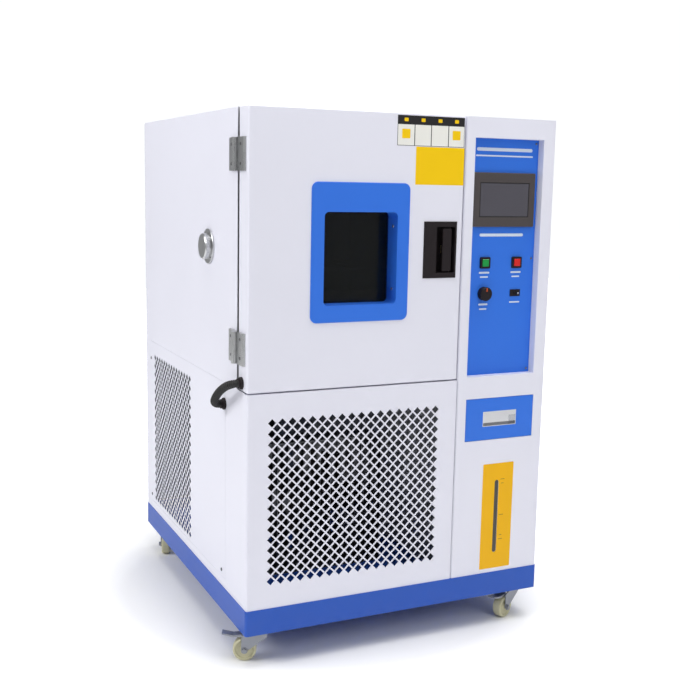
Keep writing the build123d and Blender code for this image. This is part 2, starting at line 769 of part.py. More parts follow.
# Wire shelf on its rails
shelf_x = (cavity_x[0] + shelf_inset, cavity_x[1] - shelf_inset)
shelf_y = (y_frame + shelf_end, y_frame + shelf_end + shelf_depth)
with BuildPart() as shelf:
    for y_bar in (shelf_y[0], shelf_y[1] - shelf_rod):
        block(shelf_x, (y_bar, y_bar + shelf_rod), (shelf_height, shelf_height + shelf_rod))
    for index in range(shelf_rod_count):
        x_bar = shelf_x[0] + index / (shelf_rod_count - 1) * (shelf_x[1] - shelf_x[0] - shelf_rod)
        block((x_bar, x_bar + shelf_rod), shelf_y, (shelf_height, shelf_height + shelf_rod))
save(shelf, "shelf")

# Test port: flange and tube in one turning, and the plug that closes it
tube_end = liner_x[0] + liner_sheet
with BuildPart() as port_flange:
    rod((x_left, port_y, port_height), (-1, 0, 0), port_flange_diameter / 2, port_flange_thickness)
    chamfer(port_flange.faces().sort_by(Axis.X)[0].edges(), port_edge)
    rod((x_left, port_y, port_height), (1, 0, 0), port_bore / 2 - slip, tube_end - x_left)
    rod((x_left - port_flange_thickness, port_y, port_height), (1, 0, 0),
        port_bore / 2 - slip - port_tube_wall,
        tube_end - x_left + port_flange_thickness, Mode.SUBTRACT)
save(port_flange, "port_flange")

plug_start = x_left - port_flange_thickness - slip
with BuildPart() as port_plug:
    rod((plug_start, port_y, port_height), (-1, 0, 0), plug_cap_diameter / 2, plug_cap_thickness)
    chamfer(port_plug.faces().sort_by(Axis.X)[0].edges(), plug_edge)
    rod((plug_start, port_y, port_height), (1, 0, 0),
        port_bore / 2 - slip - port_tube_wall - 2 * running_gap,
        plug_length)
save(port_plug, "port_plug")

# Door: outer pan, foam, inner panel, window frame, panes and seal
x_window = x_left + window_from_left
z_glass = window_centre_height + glass_rise
tunnel_width = glass_width + 2 * window_wall
tunnel_height = glass_height + 2 * window_wall
latch_x = (x_left + latch_from_left, x_left + latch_from_left + latch_width)
latch_z = around(latch_centre_height, latch_height)
pocket_x = (latch_x[0] + latch_wall, latch_x[1] - latch_wall)
pocket_z = (latch_z[0] + latch_wall, latch_z[1] - latch_wall)
bolt_y = (y_front + bolt_depth, y_front + bolt_depth + bolt_width)
bolt_z = around(latch_centre_height, bolt_height)
bolt_x = (x_door_right + bolt_reach - bolt_length, x_door_right + bolt_reach)
bolt_hole_y = (bolt_y[0] - slip, bolt_y[1] + slip)
bolt_hole_z = (bolt_z[0] - slip, bolt_z[1] + slip)
y_inner_panel = y_door_back - door_skin
with BuildPart() as door_shell:
    block((x_left, x_door_right), (y_front, y_door_back), (z_door, z_top))
    fillet(door_shell.edges().filter_by(Axis.Z).group_by(Axis.Y)[0], corner_radius)
    chamfer(door_shell.edges().filter_by(Axis.X).group_by(Axis.Y)[0], door_edge)
    offset(amount=-door_skin, openings=door_shell.faces().sort_by(Axis.Y)[-1])
    with BuildSketch(Plane.XZ.offset(-y_front)):
        with Locations((x_window, z_glass)):
            RectangleRounded(tunnel_width + slip, tunnel_height + slip, glass_radius + window_wall)
        with Locations(((pocket_x[0] + pocket_x[1]) / 2, latch_centre_height)):
            Rectangle(pocket_x[1] - pocket_x[0], pocket_z[1] - pocket_z[0])
    extrude(amount=-door_skin, mode=Mode.SUBTRACT)
    block((x_door_right - door_skin, x_door_right), bolt_hole_y, bolt_hole_z, Mode.SUBTRACT)
save(door_shell, "door_shell")

with BuildPart() as window_frame:
    with BuildSketch(Plane.XZ.offset(-y_front)):
        with Locations((x_window, window_centre_height)):
            RectangleRounded(window_width, window_height, window_radius)
    extrude(amount=window_proud)
    chamfer(window_frame.faces().sort_by(Axis.Y)[0].edges(), window_edge)
    with BuildSketch(Plane.XZ.offset(-y_front)):
        with Locations((x_window, z_glass)):
            RectangleRounded(tunnel_width, tunnel_height, glass_radius + window_wall)
    extrude(amount=-(y_inner_panel - y_front - slip))
    with BuildSketch(Plane.XZ.offset(-y_front + window_proud)):
        with Locations((x_window, z_glass)):
            RectangleRounded(glass_width, glass_height, glass_radius)
    extrude(amount=-(door_thickness + window_proud), mode=Mode.SUBTRACT)
save(window_frame, "window_frame")

with BuildPart() as window_glass:
    for y_pane in (y_front + pane_depth, y_front + pane_depth + pane_thickness + pane_gap):
        with BuildSketch(Plane.XZ.offset(-y_pane)):
            with Locations((x_window, z_glass)):
                RectangleRounded(glass_width - slip, glass_height - slip, glass_radius)
        extrude(amount=-pane_thickness)
save(window_glass, "window_glass")

inner_x = (x_left + door_skin + slip, x_door_right - door_skin - slip)
inner_z = (z_door + door_skin + slip, z_top - door_skin - slip)
with BuildPart() as door_inner_panel:
    block(inner_x, (y_inner_panel, y_door_back), inner_z)
    with BuildSketch(Plane.XZ.offset(-y_inner_panel)):
        with Locations((x_window, z_glass)):
            RectangleRounded(glass_width - 2 * window_wall, glass_height - 2 * window_wall, glass_radius)
    extrude(amount=-door_skin, mode=Mode.SUBTRACT)
save(door_inner_panel, "door_inner_panel")

with BuildPart() as door_insulation:
    block(inner_x, (y_front + door_skin, y_inner_panel), inner_z)
    fillet(door_insulation.edges().filter_by(Axis.Z).group_by(Axis.Y)[0], corner_radius)
    chamfer(door_insulation.edges().filter_by(Axis.X).group_by(Axis.Y)[0], door_edge)
    block(around(x_window, tunnel_width + slip), (y_front, y_inner_panel),
          around(z_glass, tunnel_height + slip),
          Mode.SUBTRACT)
    block((pocket_x[0] - slip, pocket_x[1] + slip), (y_front, y_front + latch_depth + slip),
          (pocket_z[0] - slip, pocket_z[1] + slip), Mode.SUBTRACT)
    block((latch_x[0], x_door_right), (bolt_y[0] - bolt_clearance, bolt_y[1] + bolt_clearance),
          (bolt_z[0] - bolt_clearance, bolt_z[1] + bolt_clearance), Mode.SUBTRACT)
save(door_insulation, "door_insulation")

gasket_x = (x_left + gasket_inset, x_door_right - gasket_inset)
gasket_z = (z_door + gasket_inset, z_top - gasket_inset)
with BuildPart() as door_gasket:
    block(gasket_x, (y_door_back, y_frame - slip), gasket_z)
    fillet(door_gasket.edges().filter_by(Axis.Y), liner_corner)
    block((gasket_x[0] + gasket_width, gasket_x[1] - gasket_width), (y_door_back, y_frame),
          (gasket_z[0] + gasket_width, gasket_z[1] - gasket_width), Mode.SUBTRACT)
save(door_gasket, "door_gasket")

# Flush latch: housing with a finger recess, pull paddle on its pins, sliding bolt
recess = (latch_x[0] + recess_from_left, latch_x[1] - latch_right_margin)
recess_height_range = (latch_z[0] + recess_margin, latch_z[1] - recess_margin)
paddle_x = (latch_x[0] + paddle_from_left, latch_x[0] + paddle_from_left + paddle_width)
paddle_z = around(latch_centre_height, paddle_height)
paddle_pin = (paddle_x[1] - paddle_pin_inset, y_front + paddle_thickness / 2)
with BuildPart() as latch_housing:
    block(latch_x, (y_front - latch_plate, y_front), latch_z)
    chamfer(latch_housing.faces().sort_by(Axis.Y)[0].edges(), latch_edge)
    block(pocket_x, (y_front, y_front + latch_depth), pocket_z)
    block(recess, (y_front - latch_plate, y_front + latch_depth - latch_wall), recess_height_range,
          Mode.SUBTRACT)
    block((recess[1], latch_x[1]), bolt_hole_y, bolt_hole_z, Mode.SUBTRACT)
    block((bolt_x[0] - bolt_travel - bolt_clearance, recess[1]),
          (y_front + latch_depth - latch_wall, bolt_hole_y[1]), bolt_hole_z, Mode.SUBTRACT)
    rod((*paddle_pin, pocket_z[0]), (0, 0, 1), paddle_pin_radius + running_gap, pocket_z[1] - pocket_z[0],
        Mode.SUBTRACT)
save(latch_housing, "latch_housing")

with BuildPart() as latch_paddle:
    block(paddle_x, (y_front - latch_plate, y_front + paddle_thickness - latch_plate), paddle_z)
    fillet(latch_paddle.edges().filter_by(Axis.Z), paddle_edge)
    rod((*paddle_pin, pocket_z[0] + slip), (0, 0, 1), paddle_pin_radius,
        pocket_z[1] - pocket_z[0] - 2 * slip)
save(latch_paddle, "latch_paddle")

with BuildPart() as latch_bolt:
    block(bolt_x, bolt_y, bolt_z)
    chamfer(latch_bolt.faces().sort_by(Axis.X)[-1].edges().filter_by(Axis.Z), bolt_clearance)
save(latch_bolt, "latch_bolt")

# Hinges: two on the left, each with two leaves whose knuckles alternate on one pin
hinge_axis = (x_left - hinge_axis_offset, y_door_back + door_gap / 2)
knuckle_pitch = hinge_height / knuckle_count


def hinge_half(height, side, first_knuckle):
    """Add one hinge's leaf and knuckles: side is -1 for the door's half, 1 for the cabinet's."""
    z_low = height - hinge_height / 2
    y_ends = sorted((hinge_axis[1] + side * hinge_leaf_length, hinge_axis[1] + side * leaf_notch))
    with BuildSketch(Plane.XY.offset(z_low)) as leaf:
        with BuildLine():
            y_far, y_near = hinge_axis[1] + side * hinge_leaf_length, hinge_axis[1] + side * leaf_notch
            Polyline((x_left, y_far), (x_left - hinge_leaf + leaf_bevel, y_far),
                     (x_left - hinge_leaf, y_far - side * leaf_bevel), (x_left - hinge_leaf, y_near),
                     (x_left, y_near), close=True)
        make_face()
    extrude(leaf.sketch, amount=hinge_height)
    for index in range(first_knuckle, knuckle_count, 2):
        z_knuckle = z_low + index * knuckle_pitch + knuckle_gap / 2
        length = knuckle_pitch - knuckle_gap
        rod((*hinge_axis, z_knuckle), (0, 0, 1), barrel_radius, length)
        block((x_left - hinge_leaf, x_left), sorted((hinge_axis[1] + side * leaf_notch, hinge_axis[1])),
              (z_knuckle, z_knuckle + length))


with BuildPart() as hinge_cabinet_leaves:
    for height in hinge_heights:
        hinge_half(height, 1, 0)
        rod((*hinge_axis, height - hinge_height / 2), (0, 0, 1), hinge_pin_radius, hinge_height)
save(hinge_cabinet_leaves, "hinge_cabinet_leaves")

with BuildPart() as hinge_door_leaves:
    for height in hinge_heights:
        hinge_half(height, -1, 1)
        rod((*hinge_axis, height - hinge_height / 2), (0, 0, 1), hinge_pin_radius + running_gap,
            hinge_height,
            Mode.SUBTRACT)
save(hinge_door_leaves, "hinge_door_leaves")

# Conduit between two elbow glands, in straight runs joined by tangent arcs
x_standoff = x_left - conduit_standoff
gland_points = {"conduit_cabinet_gland": (gland_y, cabinet_gland_height),
                "conduit_door_gland": (y_front + door_gland_from_front, door_gland_height)}
for name, (y_gland, z_gland) in gland_points.items():
    with BuildPart() as gland:
        rod((x_left, y_gland, z_gland), (-1, 0, 0), gland_diameter / 2, gland_flange)
        chamfer(gland.faces().sort_by(Axis.X)[0].edges(), gland_edge)
        rod((x_left, y_gland, z_gland), (-1, 0, 0), conduit_diameter / 2 + gland_lip, 2 * gland_flange)
    save(gland, name)

x_gland_end = x_left - 2 * gland_flange
y_door_gland = y_front + door_gland_from_front
conduit_points = [(x_gland_end, gland_y, cabinet_gland_height),
                  (x_standoff, gland_y, cabinet_gland_height),
                  (x_standoff - conduit_bow, (gland_y + y_door_gland) / 2 + conduit_bow_forward,
                   (cabinet_gland_height + door_gland_height) / 2 + conduit_bow_up),
                  (x_standoff, y_door_gland, door_gland_height),
                  (x_gland_end, y_door_gland, door_gland_height)]


def bend_radii(points):
    """Give each corner of a route the arc that its two runs leave room for."""
    radii = []
    for before, corner_point, after in zip(points, points[1:], points[2:]):
        run_in, run_out = Vector(*corner_point) - Vector(*before), Vector(*after) - Vector(*corner_point)
        turn = math.radians(run_in.get_angle(run_out))
        radii.append(conduit_bend_share * min(run_in.length, run_out.length) / math.tan(turn / 2))
    return radii


conduit_radii = bend_radii(conduit_points)
with BuildLine() as route:
    FilletPolyline(*conduit_points, radius=conduit_radii)
across_bend = (0, door_gland_height - cabinet_gland_height, gland_y - y_door_gland)
with BuildPart() as conduit:
    for step in range(conduit_steps + 1):
        share = step / conduit_steps
        with BuildSketch(Plane(origin=route.line @ share, x_dir=across_bend, z_dir=route.line % share)):
            RegularPolygon(conduit_diameter / 2, conduit_sides)
    loft(ruled=True)
save(conduit, "conduit")

# Machine compartment: partition, condenser with its shroud, fan and compressor
z_floor = z_body
with BuildPart() as partition_plate:
    block((x_shell_right - shell_sheet, x_shell_right), (y_front + front_return, y_back - sheet),
          (z_floor, z_seam))
save(partition_plate, "partition_plate")

condenser_x = (x_left + condenser_from_left, x_left + condenser_from_left + condenser_width)
condenser_y = (y_front + condenser_from_front, y_front + condenser_from_front + condenser_depth)
condenser_z = (z_floor, z_floor + condenser_height)
x_condenser = (condenser_x[0] + condenser_x[1]) / 2
z_condenser = (condenser_z[0] + condenser_z[1]) / 2
shroud_y = (condenser_y[1], condenser_y[1] + shroud_depth)
with BuildPart() as condenser:
    block(condenser_x, (condenser_y[0], shroud_y[1]), condenser_z)
    block((condenser_x[0] + condenser_plate, condenser_x[1] - condenser_plate),
          (condenser_y[0], shroud_y[1] - condenser_plate),
          (condenser_z[0] + condenser_plate, condenser_z[1] - condenser_plate), Mode.SUBTRACT)
    rod((x_condenser, shroud_y[1] - condenser_plate, z_condenser), (0, 1, 0),
        condenser_fan_diameter / 2 + shroud_clearance,
        condenser_plate, Mode.SUBTRACT)
    for index in range(condenser_fins):
        x_fin = condenser_x[0] + (index + 1) / (condenser_fins + 1) * condenser_width
        block((x_fin, x_fin + condenser_plate), condenser_y, condenser_z)
    block(around(x_condenser, bracket_width), (shroud_y[1] - condenser_plate, shroud_y[1]), condenser_z)
    rod((x_condenser, shroud_y[1], z_condenser), (0, -1, 0), stub_diameter / 2, shroud_depth / 2)
save(condenser, "condenser")

blade_start = condenser_y[1] + blade_standoff
blade_y = (blade_start, blade_start + condenser_blade_width)
blade_span = (condenser_fan_diameter - condenser_hub_diameter) / 2 + condenser_plate
with BuildPart() as condenser_fan:
    rod((x_condenser, blade_y[0], z_condenser), (0, 1, 0), condenser_hub_diameter / 2, condenser_blade_width)
    for index in range(condenser_blade_count):
        turn = math.radians(index * 360 / condenser_blade_count)
        across = Plane(origin=(x_condenser, (blade_y[0] + blade_y[1]) / 2, z_condenser),
                       x_dir=(-math.sin(turn), 0, math.cos(turn)), z_dir=(math.cos(turn), 0, math.sin(turn)))
        with BuildSketch(across.offset(condenser_hub_diameter / 2 - condenser_blade_root)) as blade:
            Rectangle(condenser_blade_chord, condenser_blade_sheet, rotation=condenser_blade_angle)
        extrude(blade.sketch, amount=blade_span)
    rod((x_condenser, blade_y[0], z_condenser), (0, 1, 0), stub_diameter / 2 + running_gap,
        condenser_blade_width,
        Mode.SUBTRACT)
save(condenser_fan, "condenser_fan")

compressor_place = (x_left + compressor_from_left, y_front + compressor_from_front)
with BuildPart() as compressor:
    block(around(compressor_place[0], compressor_foot), around(compressor_place[1], compressor_foot),
          (z_floor, z_floor + compressor_foot_thickness))
    rod((*compressor_place, z_floor), (0, 0, 1), compressor_diameter / 2, compressor_height)
    chamfer(compressor.edges().filter_by(GeomType.CIRCLE).sort_by(Axis.Z)[-1], compressor_edge)
save(compressor, "compressor")

# Casters: plates under the base, swivelling forks, wheels and the front pair's brake pedals
axle_height = wheel_diameter / 2
fork_inner = wheel_width / 2 + fork_gap
corners = {"front_left": (x_left + caster_inset, y_front + caster_inset),
           "front_right": (x_right - caster_inset, y_front + caster_inset),
           "rear_left": (x_left + caster_inset, y_back - caster_inset),
           "rear_right": (x_right - caster_inset, y_back - caster_inset)}
z_ring = z_base - caster_plate_thickness - swivel_ring_height
with BuildPart() as caster_plates:
    for x_pivot, y_pivot in corners.values():
        block(around(x_pivot, caster_plate_size), around(y_pivot, caster_plate_size),
              (z_base - caster_plate_thickness, z_base))
        rod((x_pivot, y_pivot, z_base), (0, 0, -1), swivel_ring_diameter / 2,
            caster_plate_thickness + swivel_ring_height)
        rod((x_pivot, y_pivot, z_ring), (0, 0, -1), kingpin_diameter / 2, fork_wall + kingpin_proud)
save(caster_plates, "caster_plates")

z_fork_top = z_ring - swivel_gap
z_pedal = z_fork_top - pedal_drop
pedal_pivot = caster_trail + pivot_ahead
pedal_bend = caster_trail + pedal_bend_reach
pedal_end = caster_trail + pedal_reach - fork_gap
for place, (x_pivot, y_pivot) in corners.items():
    turn = swivel_headings[place]
    heading = Plane(origin=(x_pivot, y_pivot, 0),
                    x_dir=(math.cos(math.radians(turn)), math.sin(math.radians(turn)), 0))
    side_plane = Plane(origin=heading.origin, x_dir=heading.x_dir, z_dir=-heading.y_dir)
    with BuildPart() as fork:
        with BuildSketch(side_plane.offset(-fork_inner - fork_wall)):
            with BuildLine():
                Polyline((-fork_top, z_fork_top), (fork_top, z_fork_top),
                         (fork_top + fork_nose, z_fork_top - fork_nose_drop),
                         (caster_trail + fork_eye, axle_height), (caster_trail, axle_height - fork_eye),
                         (caster_trail - fork_eye, axle_height), (-fork_top, z_fork_top - fork_heel_drop),
                         close=True)
            make_face()
        extrude(amount=2 * (fork_inner + fork_wall))
        with BuildSketch(side_plane.offset(-fork_inner)):
            with Locations((0, (z_fork_top - fork_wall) / 2)):
                Rectangle(4 * wheel_diameter, z_fork_top - fork_wall)
        extrude(amount=2 * fork_inner, mode=Mode.SUBTRACT)
        with BuildSketch(side_plane.offset(-fork_inner - fork_wall - axle_proud)):
            with Locations((caster_trail, axle_height)):
                Circle(axle_diameter / 2)
        extrude(amount=2 * (fork_inner + fork_wall + axle_proud))
        rod((x_pivot, y_pivot, z_fork_top), (0, 0, -1), kingpin_diameter / 2 + running_gap, fork_wall,
            Mode.SUBTRACT)
        if place.startswith("front"):
            with BuildSketch(side_plane.offset(-fork_inner)):
                with Locations((pedal_pivot, z_pedal)):
                    Circle(pedal_pin_diameter / 2)
            extrude(amount=2 * fork_inner)
    save(fork, f"caster_fork_{place}")
    with BuildPart() as wheel:
        with BuildSketch(side_plane.offset(-wheel_width / 2)):
            with Locations((caster_trail, axle_height)):
                Circle(wheel_diameter / 2)
        extrude(amount=wheel_width)
        chamfer(wheel.edges().filter_by(GeomType.CIRCLE), wheel_edge)
        with BuildSketch(side_plane.offset(-wheel_width / 2)):
            with Locations((caster_trail, axle_height)):
                Circle(axle_diameter / 2 + axle_gap)
        extrude(amount=wheel_width, mode=Mode.SUBTRACT)
    save(wheel, f"caster_wheel_{place}")
    if place.startswith("front"):
        with BuildPart() as pedal:
            with BuildSketch(side_plane.offset(-pedal_width / 2)):
                with BuildLine():
                    Polyline((pedal_pivot, z_pedal - pedal_root), (pedal_bend, z_pedal - pedal_root),
                             (pedal_end, z_pedal + pedal_rise), (pedal_end,
                                                                 z_pedal + pedal_rise + pedal_tip),
                             (pedal_bend, z_pedal + pedal_bend_top), (pedal_pivot, z_pedal + pedal_root),
                             close=True)
                make_face()
                with Locations((pedal_pivot, z_pedal)):
                    Circle(pedal_pin_diameter / 2 + pedal_barrel_wall)
                    Circle(pedal_pin_diameter / 2 + running_gap, mode=Mode.SUBTRACT)
            extrude(amount=pedal_width)
        save(pedal, f"brake_pedal_{place}")
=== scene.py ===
"""Dresses the environmental test chamber: finishes, fine grilles, plates, screws, hose and wheels."""

from __future__ import annotations

import json
import logging
import math
from dataclasses import dataclass
from enum import Enum

import bmesh
import bpy
from mathutils import Euler, Matrix, Vector

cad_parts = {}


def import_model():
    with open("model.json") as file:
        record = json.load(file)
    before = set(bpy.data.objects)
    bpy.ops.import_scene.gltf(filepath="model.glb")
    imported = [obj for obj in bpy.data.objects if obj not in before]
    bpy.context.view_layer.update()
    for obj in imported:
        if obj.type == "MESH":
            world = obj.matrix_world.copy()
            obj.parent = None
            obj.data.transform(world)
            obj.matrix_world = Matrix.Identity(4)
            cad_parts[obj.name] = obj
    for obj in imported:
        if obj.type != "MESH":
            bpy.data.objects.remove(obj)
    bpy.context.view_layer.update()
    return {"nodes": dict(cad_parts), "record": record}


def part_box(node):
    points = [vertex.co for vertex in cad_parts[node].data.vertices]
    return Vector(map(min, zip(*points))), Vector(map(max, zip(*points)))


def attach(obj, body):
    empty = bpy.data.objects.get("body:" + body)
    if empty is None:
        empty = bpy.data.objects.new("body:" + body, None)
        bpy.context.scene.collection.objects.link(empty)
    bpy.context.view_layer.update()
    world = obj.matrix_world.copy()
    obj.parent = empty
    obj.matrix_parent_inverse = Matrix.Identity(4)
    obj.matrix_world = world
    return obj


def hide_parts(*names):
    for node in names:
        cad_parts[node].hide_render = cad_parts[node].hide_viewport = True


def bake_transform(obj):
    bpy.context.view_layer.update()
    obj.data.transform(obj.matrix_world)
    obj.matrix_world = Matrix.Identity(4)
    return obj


log = logging.getLogger("test_chamber")
MM = 0.001
MERGE = 1e-6
EDGE_SHARE = 0.4
DUST_COLOUR = (0.2, 0.18, 0.15, 1.0)
DUST_REACH = 0.3
Point = tuple[float, float, float]
Pair = tuple[float, float]
Points = tuple[Point, ...]


def linear(colour: tuple[int, int, int]) -> tuple[float, ...]:
    """Turn a display colour of 0 to 255 into a shader's linear colour, with an alpha of 1.

    Args:
        colour: Red, green and blue.

    Returns:
        The linear colour.
    """
    shares = [value / 255 for value in colour]
    return (*[share / 12.92 if share <= 0.04045 else ((share + 0.055) / 1.055) ** 2.4
              for share in shares], 1.0)


class Texture(Enum):
    """How a surface is textured: the noise scale per metre and how it is stretched along X, Y and Z."""

    POWDER = (900.0, (1.0, 1.0, 1.0))
    BRUSHED_UP = (260.0, (4.0, 4.0, 0.08))
    BRUSHED_ACROSS = (260.0, (0.08, 4.0, 4.0))
    MOULDED = (1400.0, (1.0, 1.0, 1.0))
    CAST = (420.0, (1.0, 1.0, 1.0))
    PLATED = (160.0, (1.0, 1.0, 1.0))
    FOAMED = (240.0, (1.0, 1.0, 1.0))
    POLISHED = (60.0, (1.0, 1.0, 1.0))


class Facing(Enum):
    """The way a thin plate or a screw head faces, as the turn that takes +Z there."""

    FRONT = (math.pi / 2, 0.0, 0.0)
    LEFT = (math.pi / 2, 0.0, -math.pi / 2)


# Node trees


def new_tree(kind: str, name: str, inputs: dict[str, str], outputs: dict[str, str]) -> bpy.types.NodeTree:
    """Make an empty tree with named sockets.

    Args:
        kind: Shader or Geometry.
        name: The tree's name.
        inputs: The socket type of each input.
        outputs: The socket type of each output.

    Returns:
        The tree, holding its input and output nodes.
    """
    tree = bpy.data.node_groups.new(name, f"{kind}NodeTree")
    for side, sockets in (("INPUT", inputs), ("OUTPUT", outputs)):
        for label, socket in sockets.items():
            tree.interface.new_socket(label, in_out=side, socket_type=f"NodeSocket{socket}")
    tree.nodes.new("NodeGroupInput").name = "in"
    tree.nodes.new("NodeGroupOutput").name = "out"
    return tree


def fed(node: bpy.types.Node, inputs: dict[str | int, object]) -> bpy.types.Node:
    """Feed a node's inputs.

    Args:
        node: The node.
        inputs: A socket, a list of sockets or a plain value for each input.

    Returns:
        The same node.
    """
    for key, value in inputs.items():
        for item in value if isinstance(value, list) else [value]:
            if isinstance(item, bpy.types.NodeSocket):
                node.id_data.links.new(item, node.inputs[key])
            else:
                node.inputs[key].default_value = item
    return node


def math_node(tree: bpy.types.NodeTree, operation: str, *values: object) -> bpy.types.NodeSocket:
    """Add a Math node.

    Args:
        tree: The shader or geometry tree.
        operation: The Math node's operation.
        *values: A socket or a number for each input.

    Returns:
        The node's output socket.
    """
    node = tree.nodes.new("ShaderNodeMath")
    node.operation = operation
    return fed(node, dict(enumerate(values))).outputs[0]


def surface_detail_group() -> bpy.types.NodeTree:
    """Build the group that varies colour and roughness slowly and gives a fine relief.

    Returns:
        The shader group.
    """
    group = new_tree("Shader", "surface_detail", {
        "Vector": "Vector", "Colour": "Color", "Tone Amount": "Float", "Tone Scale": "Float",
        "Roughness": "Float", "Roughness Amount": "Float", "Grain Scale": "Float", "Stretch": "Vector"},
        {"Colour": "Color", "Roughness": "Float", "Height": "Float"})
    nodes = group.nodes
    source = nodes["in"].outputs
    patches = fed(nodes.new("ShaderNodeTexNoise"), {
        "Detail": 4.0, "Vector": source["Vector"], "Scale": source["Tone Scale"]}).outputs["Fac"]
    swing = math_node(group, "SUBTRACT", patches, 0.5)
    shade = math_node(group, "MULTIPLY_ADD", swing, source["Tone Amount"], 1.0)
    tint, stretched = nodes.new("ShaderNodeVectorMath"), nodes.new("ShaderNodeVectorMath")
    tint.operation, stretched.operation = "SCALE", "MULTIPLY"
    fed(tint, {0: source["Colour"], "Scale": shade})
    fed(stretched, {0: source["Vector"], 1: source["Stretch"]})
    grain = fed(nodes.new("ShaderNodeTexNoise"), {
        "Detail": 3.0, "Vector": stretched.outputs[0], "Scale": source["Grain Scale"]}).outputs["Fac"]
    centred = math_node(group, "SUBTRACT", math_node(group, "ADD", grain, patches), 1.0)
    rough = math_node(group, "MULTIPLY_ADD", centred, source["Roughness Amount"], source["Roughness"])
    fed(nodes["out"], {"Colour": tint.outputs[0], "Roughness": rough, "Height": grain})
    return group


def floor_dust_group() -> bpy.types.NodeTree:
    """Build the group that greys a colour in patches close to the floor.

    Returns:
        The shader group.
    """
    group = new_tree("Shader", "floor_dust", {
        "Vector": "Vector", "Colour": "Color", "Dust": "Color", "Reach": "Float", "Amount": "Float"},
        {"Colour": "Color"})
    nodes = group.nodes
    source = nodes["in"].outputs
    split = fed(nodes.new("ShaderNodeSeparateXYZ"), {0: source["Vector"]})
    fall = math_node(group, "DIVIDE", split.outputs["Z"], source["Reach"])
    near = math_node(group, "SUBTRACT", 1.0, fall)
    near.node.use_clamp = True
    cloud = fed(nodes.new("ShaderNodeTexNoise"), {"Scale": 22.0, "Detail": 6.0, "Vector": source["Vector"]})
    patch = math_node(group, "MULTIPLY", near, cloud.outputs["Fac"])
    mix = nodes.new("ShaderNodeMix")
    mix.data_type = "RGBA"
    fed(mix, {"Factor": math_node(group, "MULTIPLY", patch, source["Amount"]), "A": source["Colour"],
              "B": source["Dust"]})
    fed(nodes["out"], {"Colour": mix.outputs["Result"]})
    return group


@dataclass(frozen=True)
class Finish:
    """One finish of the chamber, made into a procedural material.

    Attributes:
        name: The material's name.
        colour: Display colour from 0 to 255.
        roughness: Middle roughness.
        metallic: 1 for bare metal.
        texture: The fine relief.
        relief: Depth of the relief in metres.
        tone: How far the colour swings.
        tone_scale: Patches per metre.
        rough_swing: How far the roughness swings.
        coat: Clear coat weight.
        dust: How much floor dust gathers low down.
        opacity: Below 1 lets the light through without bending it.
        specular: Specular level.
    """

    name: str
    colour: tuple[int, int, int]
    roughness: float
    metallic: float = 0.0
    texture: Texture = Texture.POWDER
    relief: float = 0.00004
    tone: float = 0.05
    tone_scale: float = 5.0
    rough_swing: float = 0.06
    coat: float = 0.0
    dust: float = 0.0
    opacity: float = 1.0
    specular: float = 0.5

    def material(self) -> bpy.types.Material:
        """Return the finish's material, building it the first time."""
        known = bpy.data.materials.get(self.name)
        if known:
            return known
        material = bpy.data.materials.new(self.name)
        material.use_nodes = True
        tree = material.node_tree
        shader = tree.nodes["Principled BSDF"]
        place = tree.nodes.new("ShaderNodeTexCoord").outputs["Object"]
        detail = tree.nodes.new("ShaderNodeGroup")
        detail.node_tree = bpy.data.node_groups["surface_detail"]
        scale, stretch = self.texture.value
        fed(detail, {
            "Vector": place, "Colour": linear(self.colour), "Tone Amount": self.tone,
            "Tone Scale": self.tone_scale, "Roughness": self.roughness,
            "Roughness Amount": self.rough_swing, "Grain Scale": scale, "Stretch": stretch})
        colour = detail.outputs["Colour"]
        if self.dust:
            dust = tree.nodes.new("ShaderNodeGroup")
            dust.node_tree = bpy.data.node_groups["floor_dust"]
            fed(dust, {"Vector": place, "Colour": colour, "Dust": DUST_COLOUR, "Reach": DUST_REACH,
                       "Amount": self.dust})
            colour = dust.outputs["Colour"]
        bump = fed(tree.nodes.new("ShaderNodeBump"), {
            "Distance": self.relief, "Strength": 0.6, "Height": detail.outputs["Height"]})
        fed(shader, {
            "Base Color": colour, "Roughness": detail.outputs["Roughness"],
            "Normal": bump.outputs["Normal"], "Metallic": self.metallic, "Coat Weight": self.coat,
            "Alpha": self.opacity, "Specular IOR Level": self.specular})
        return material


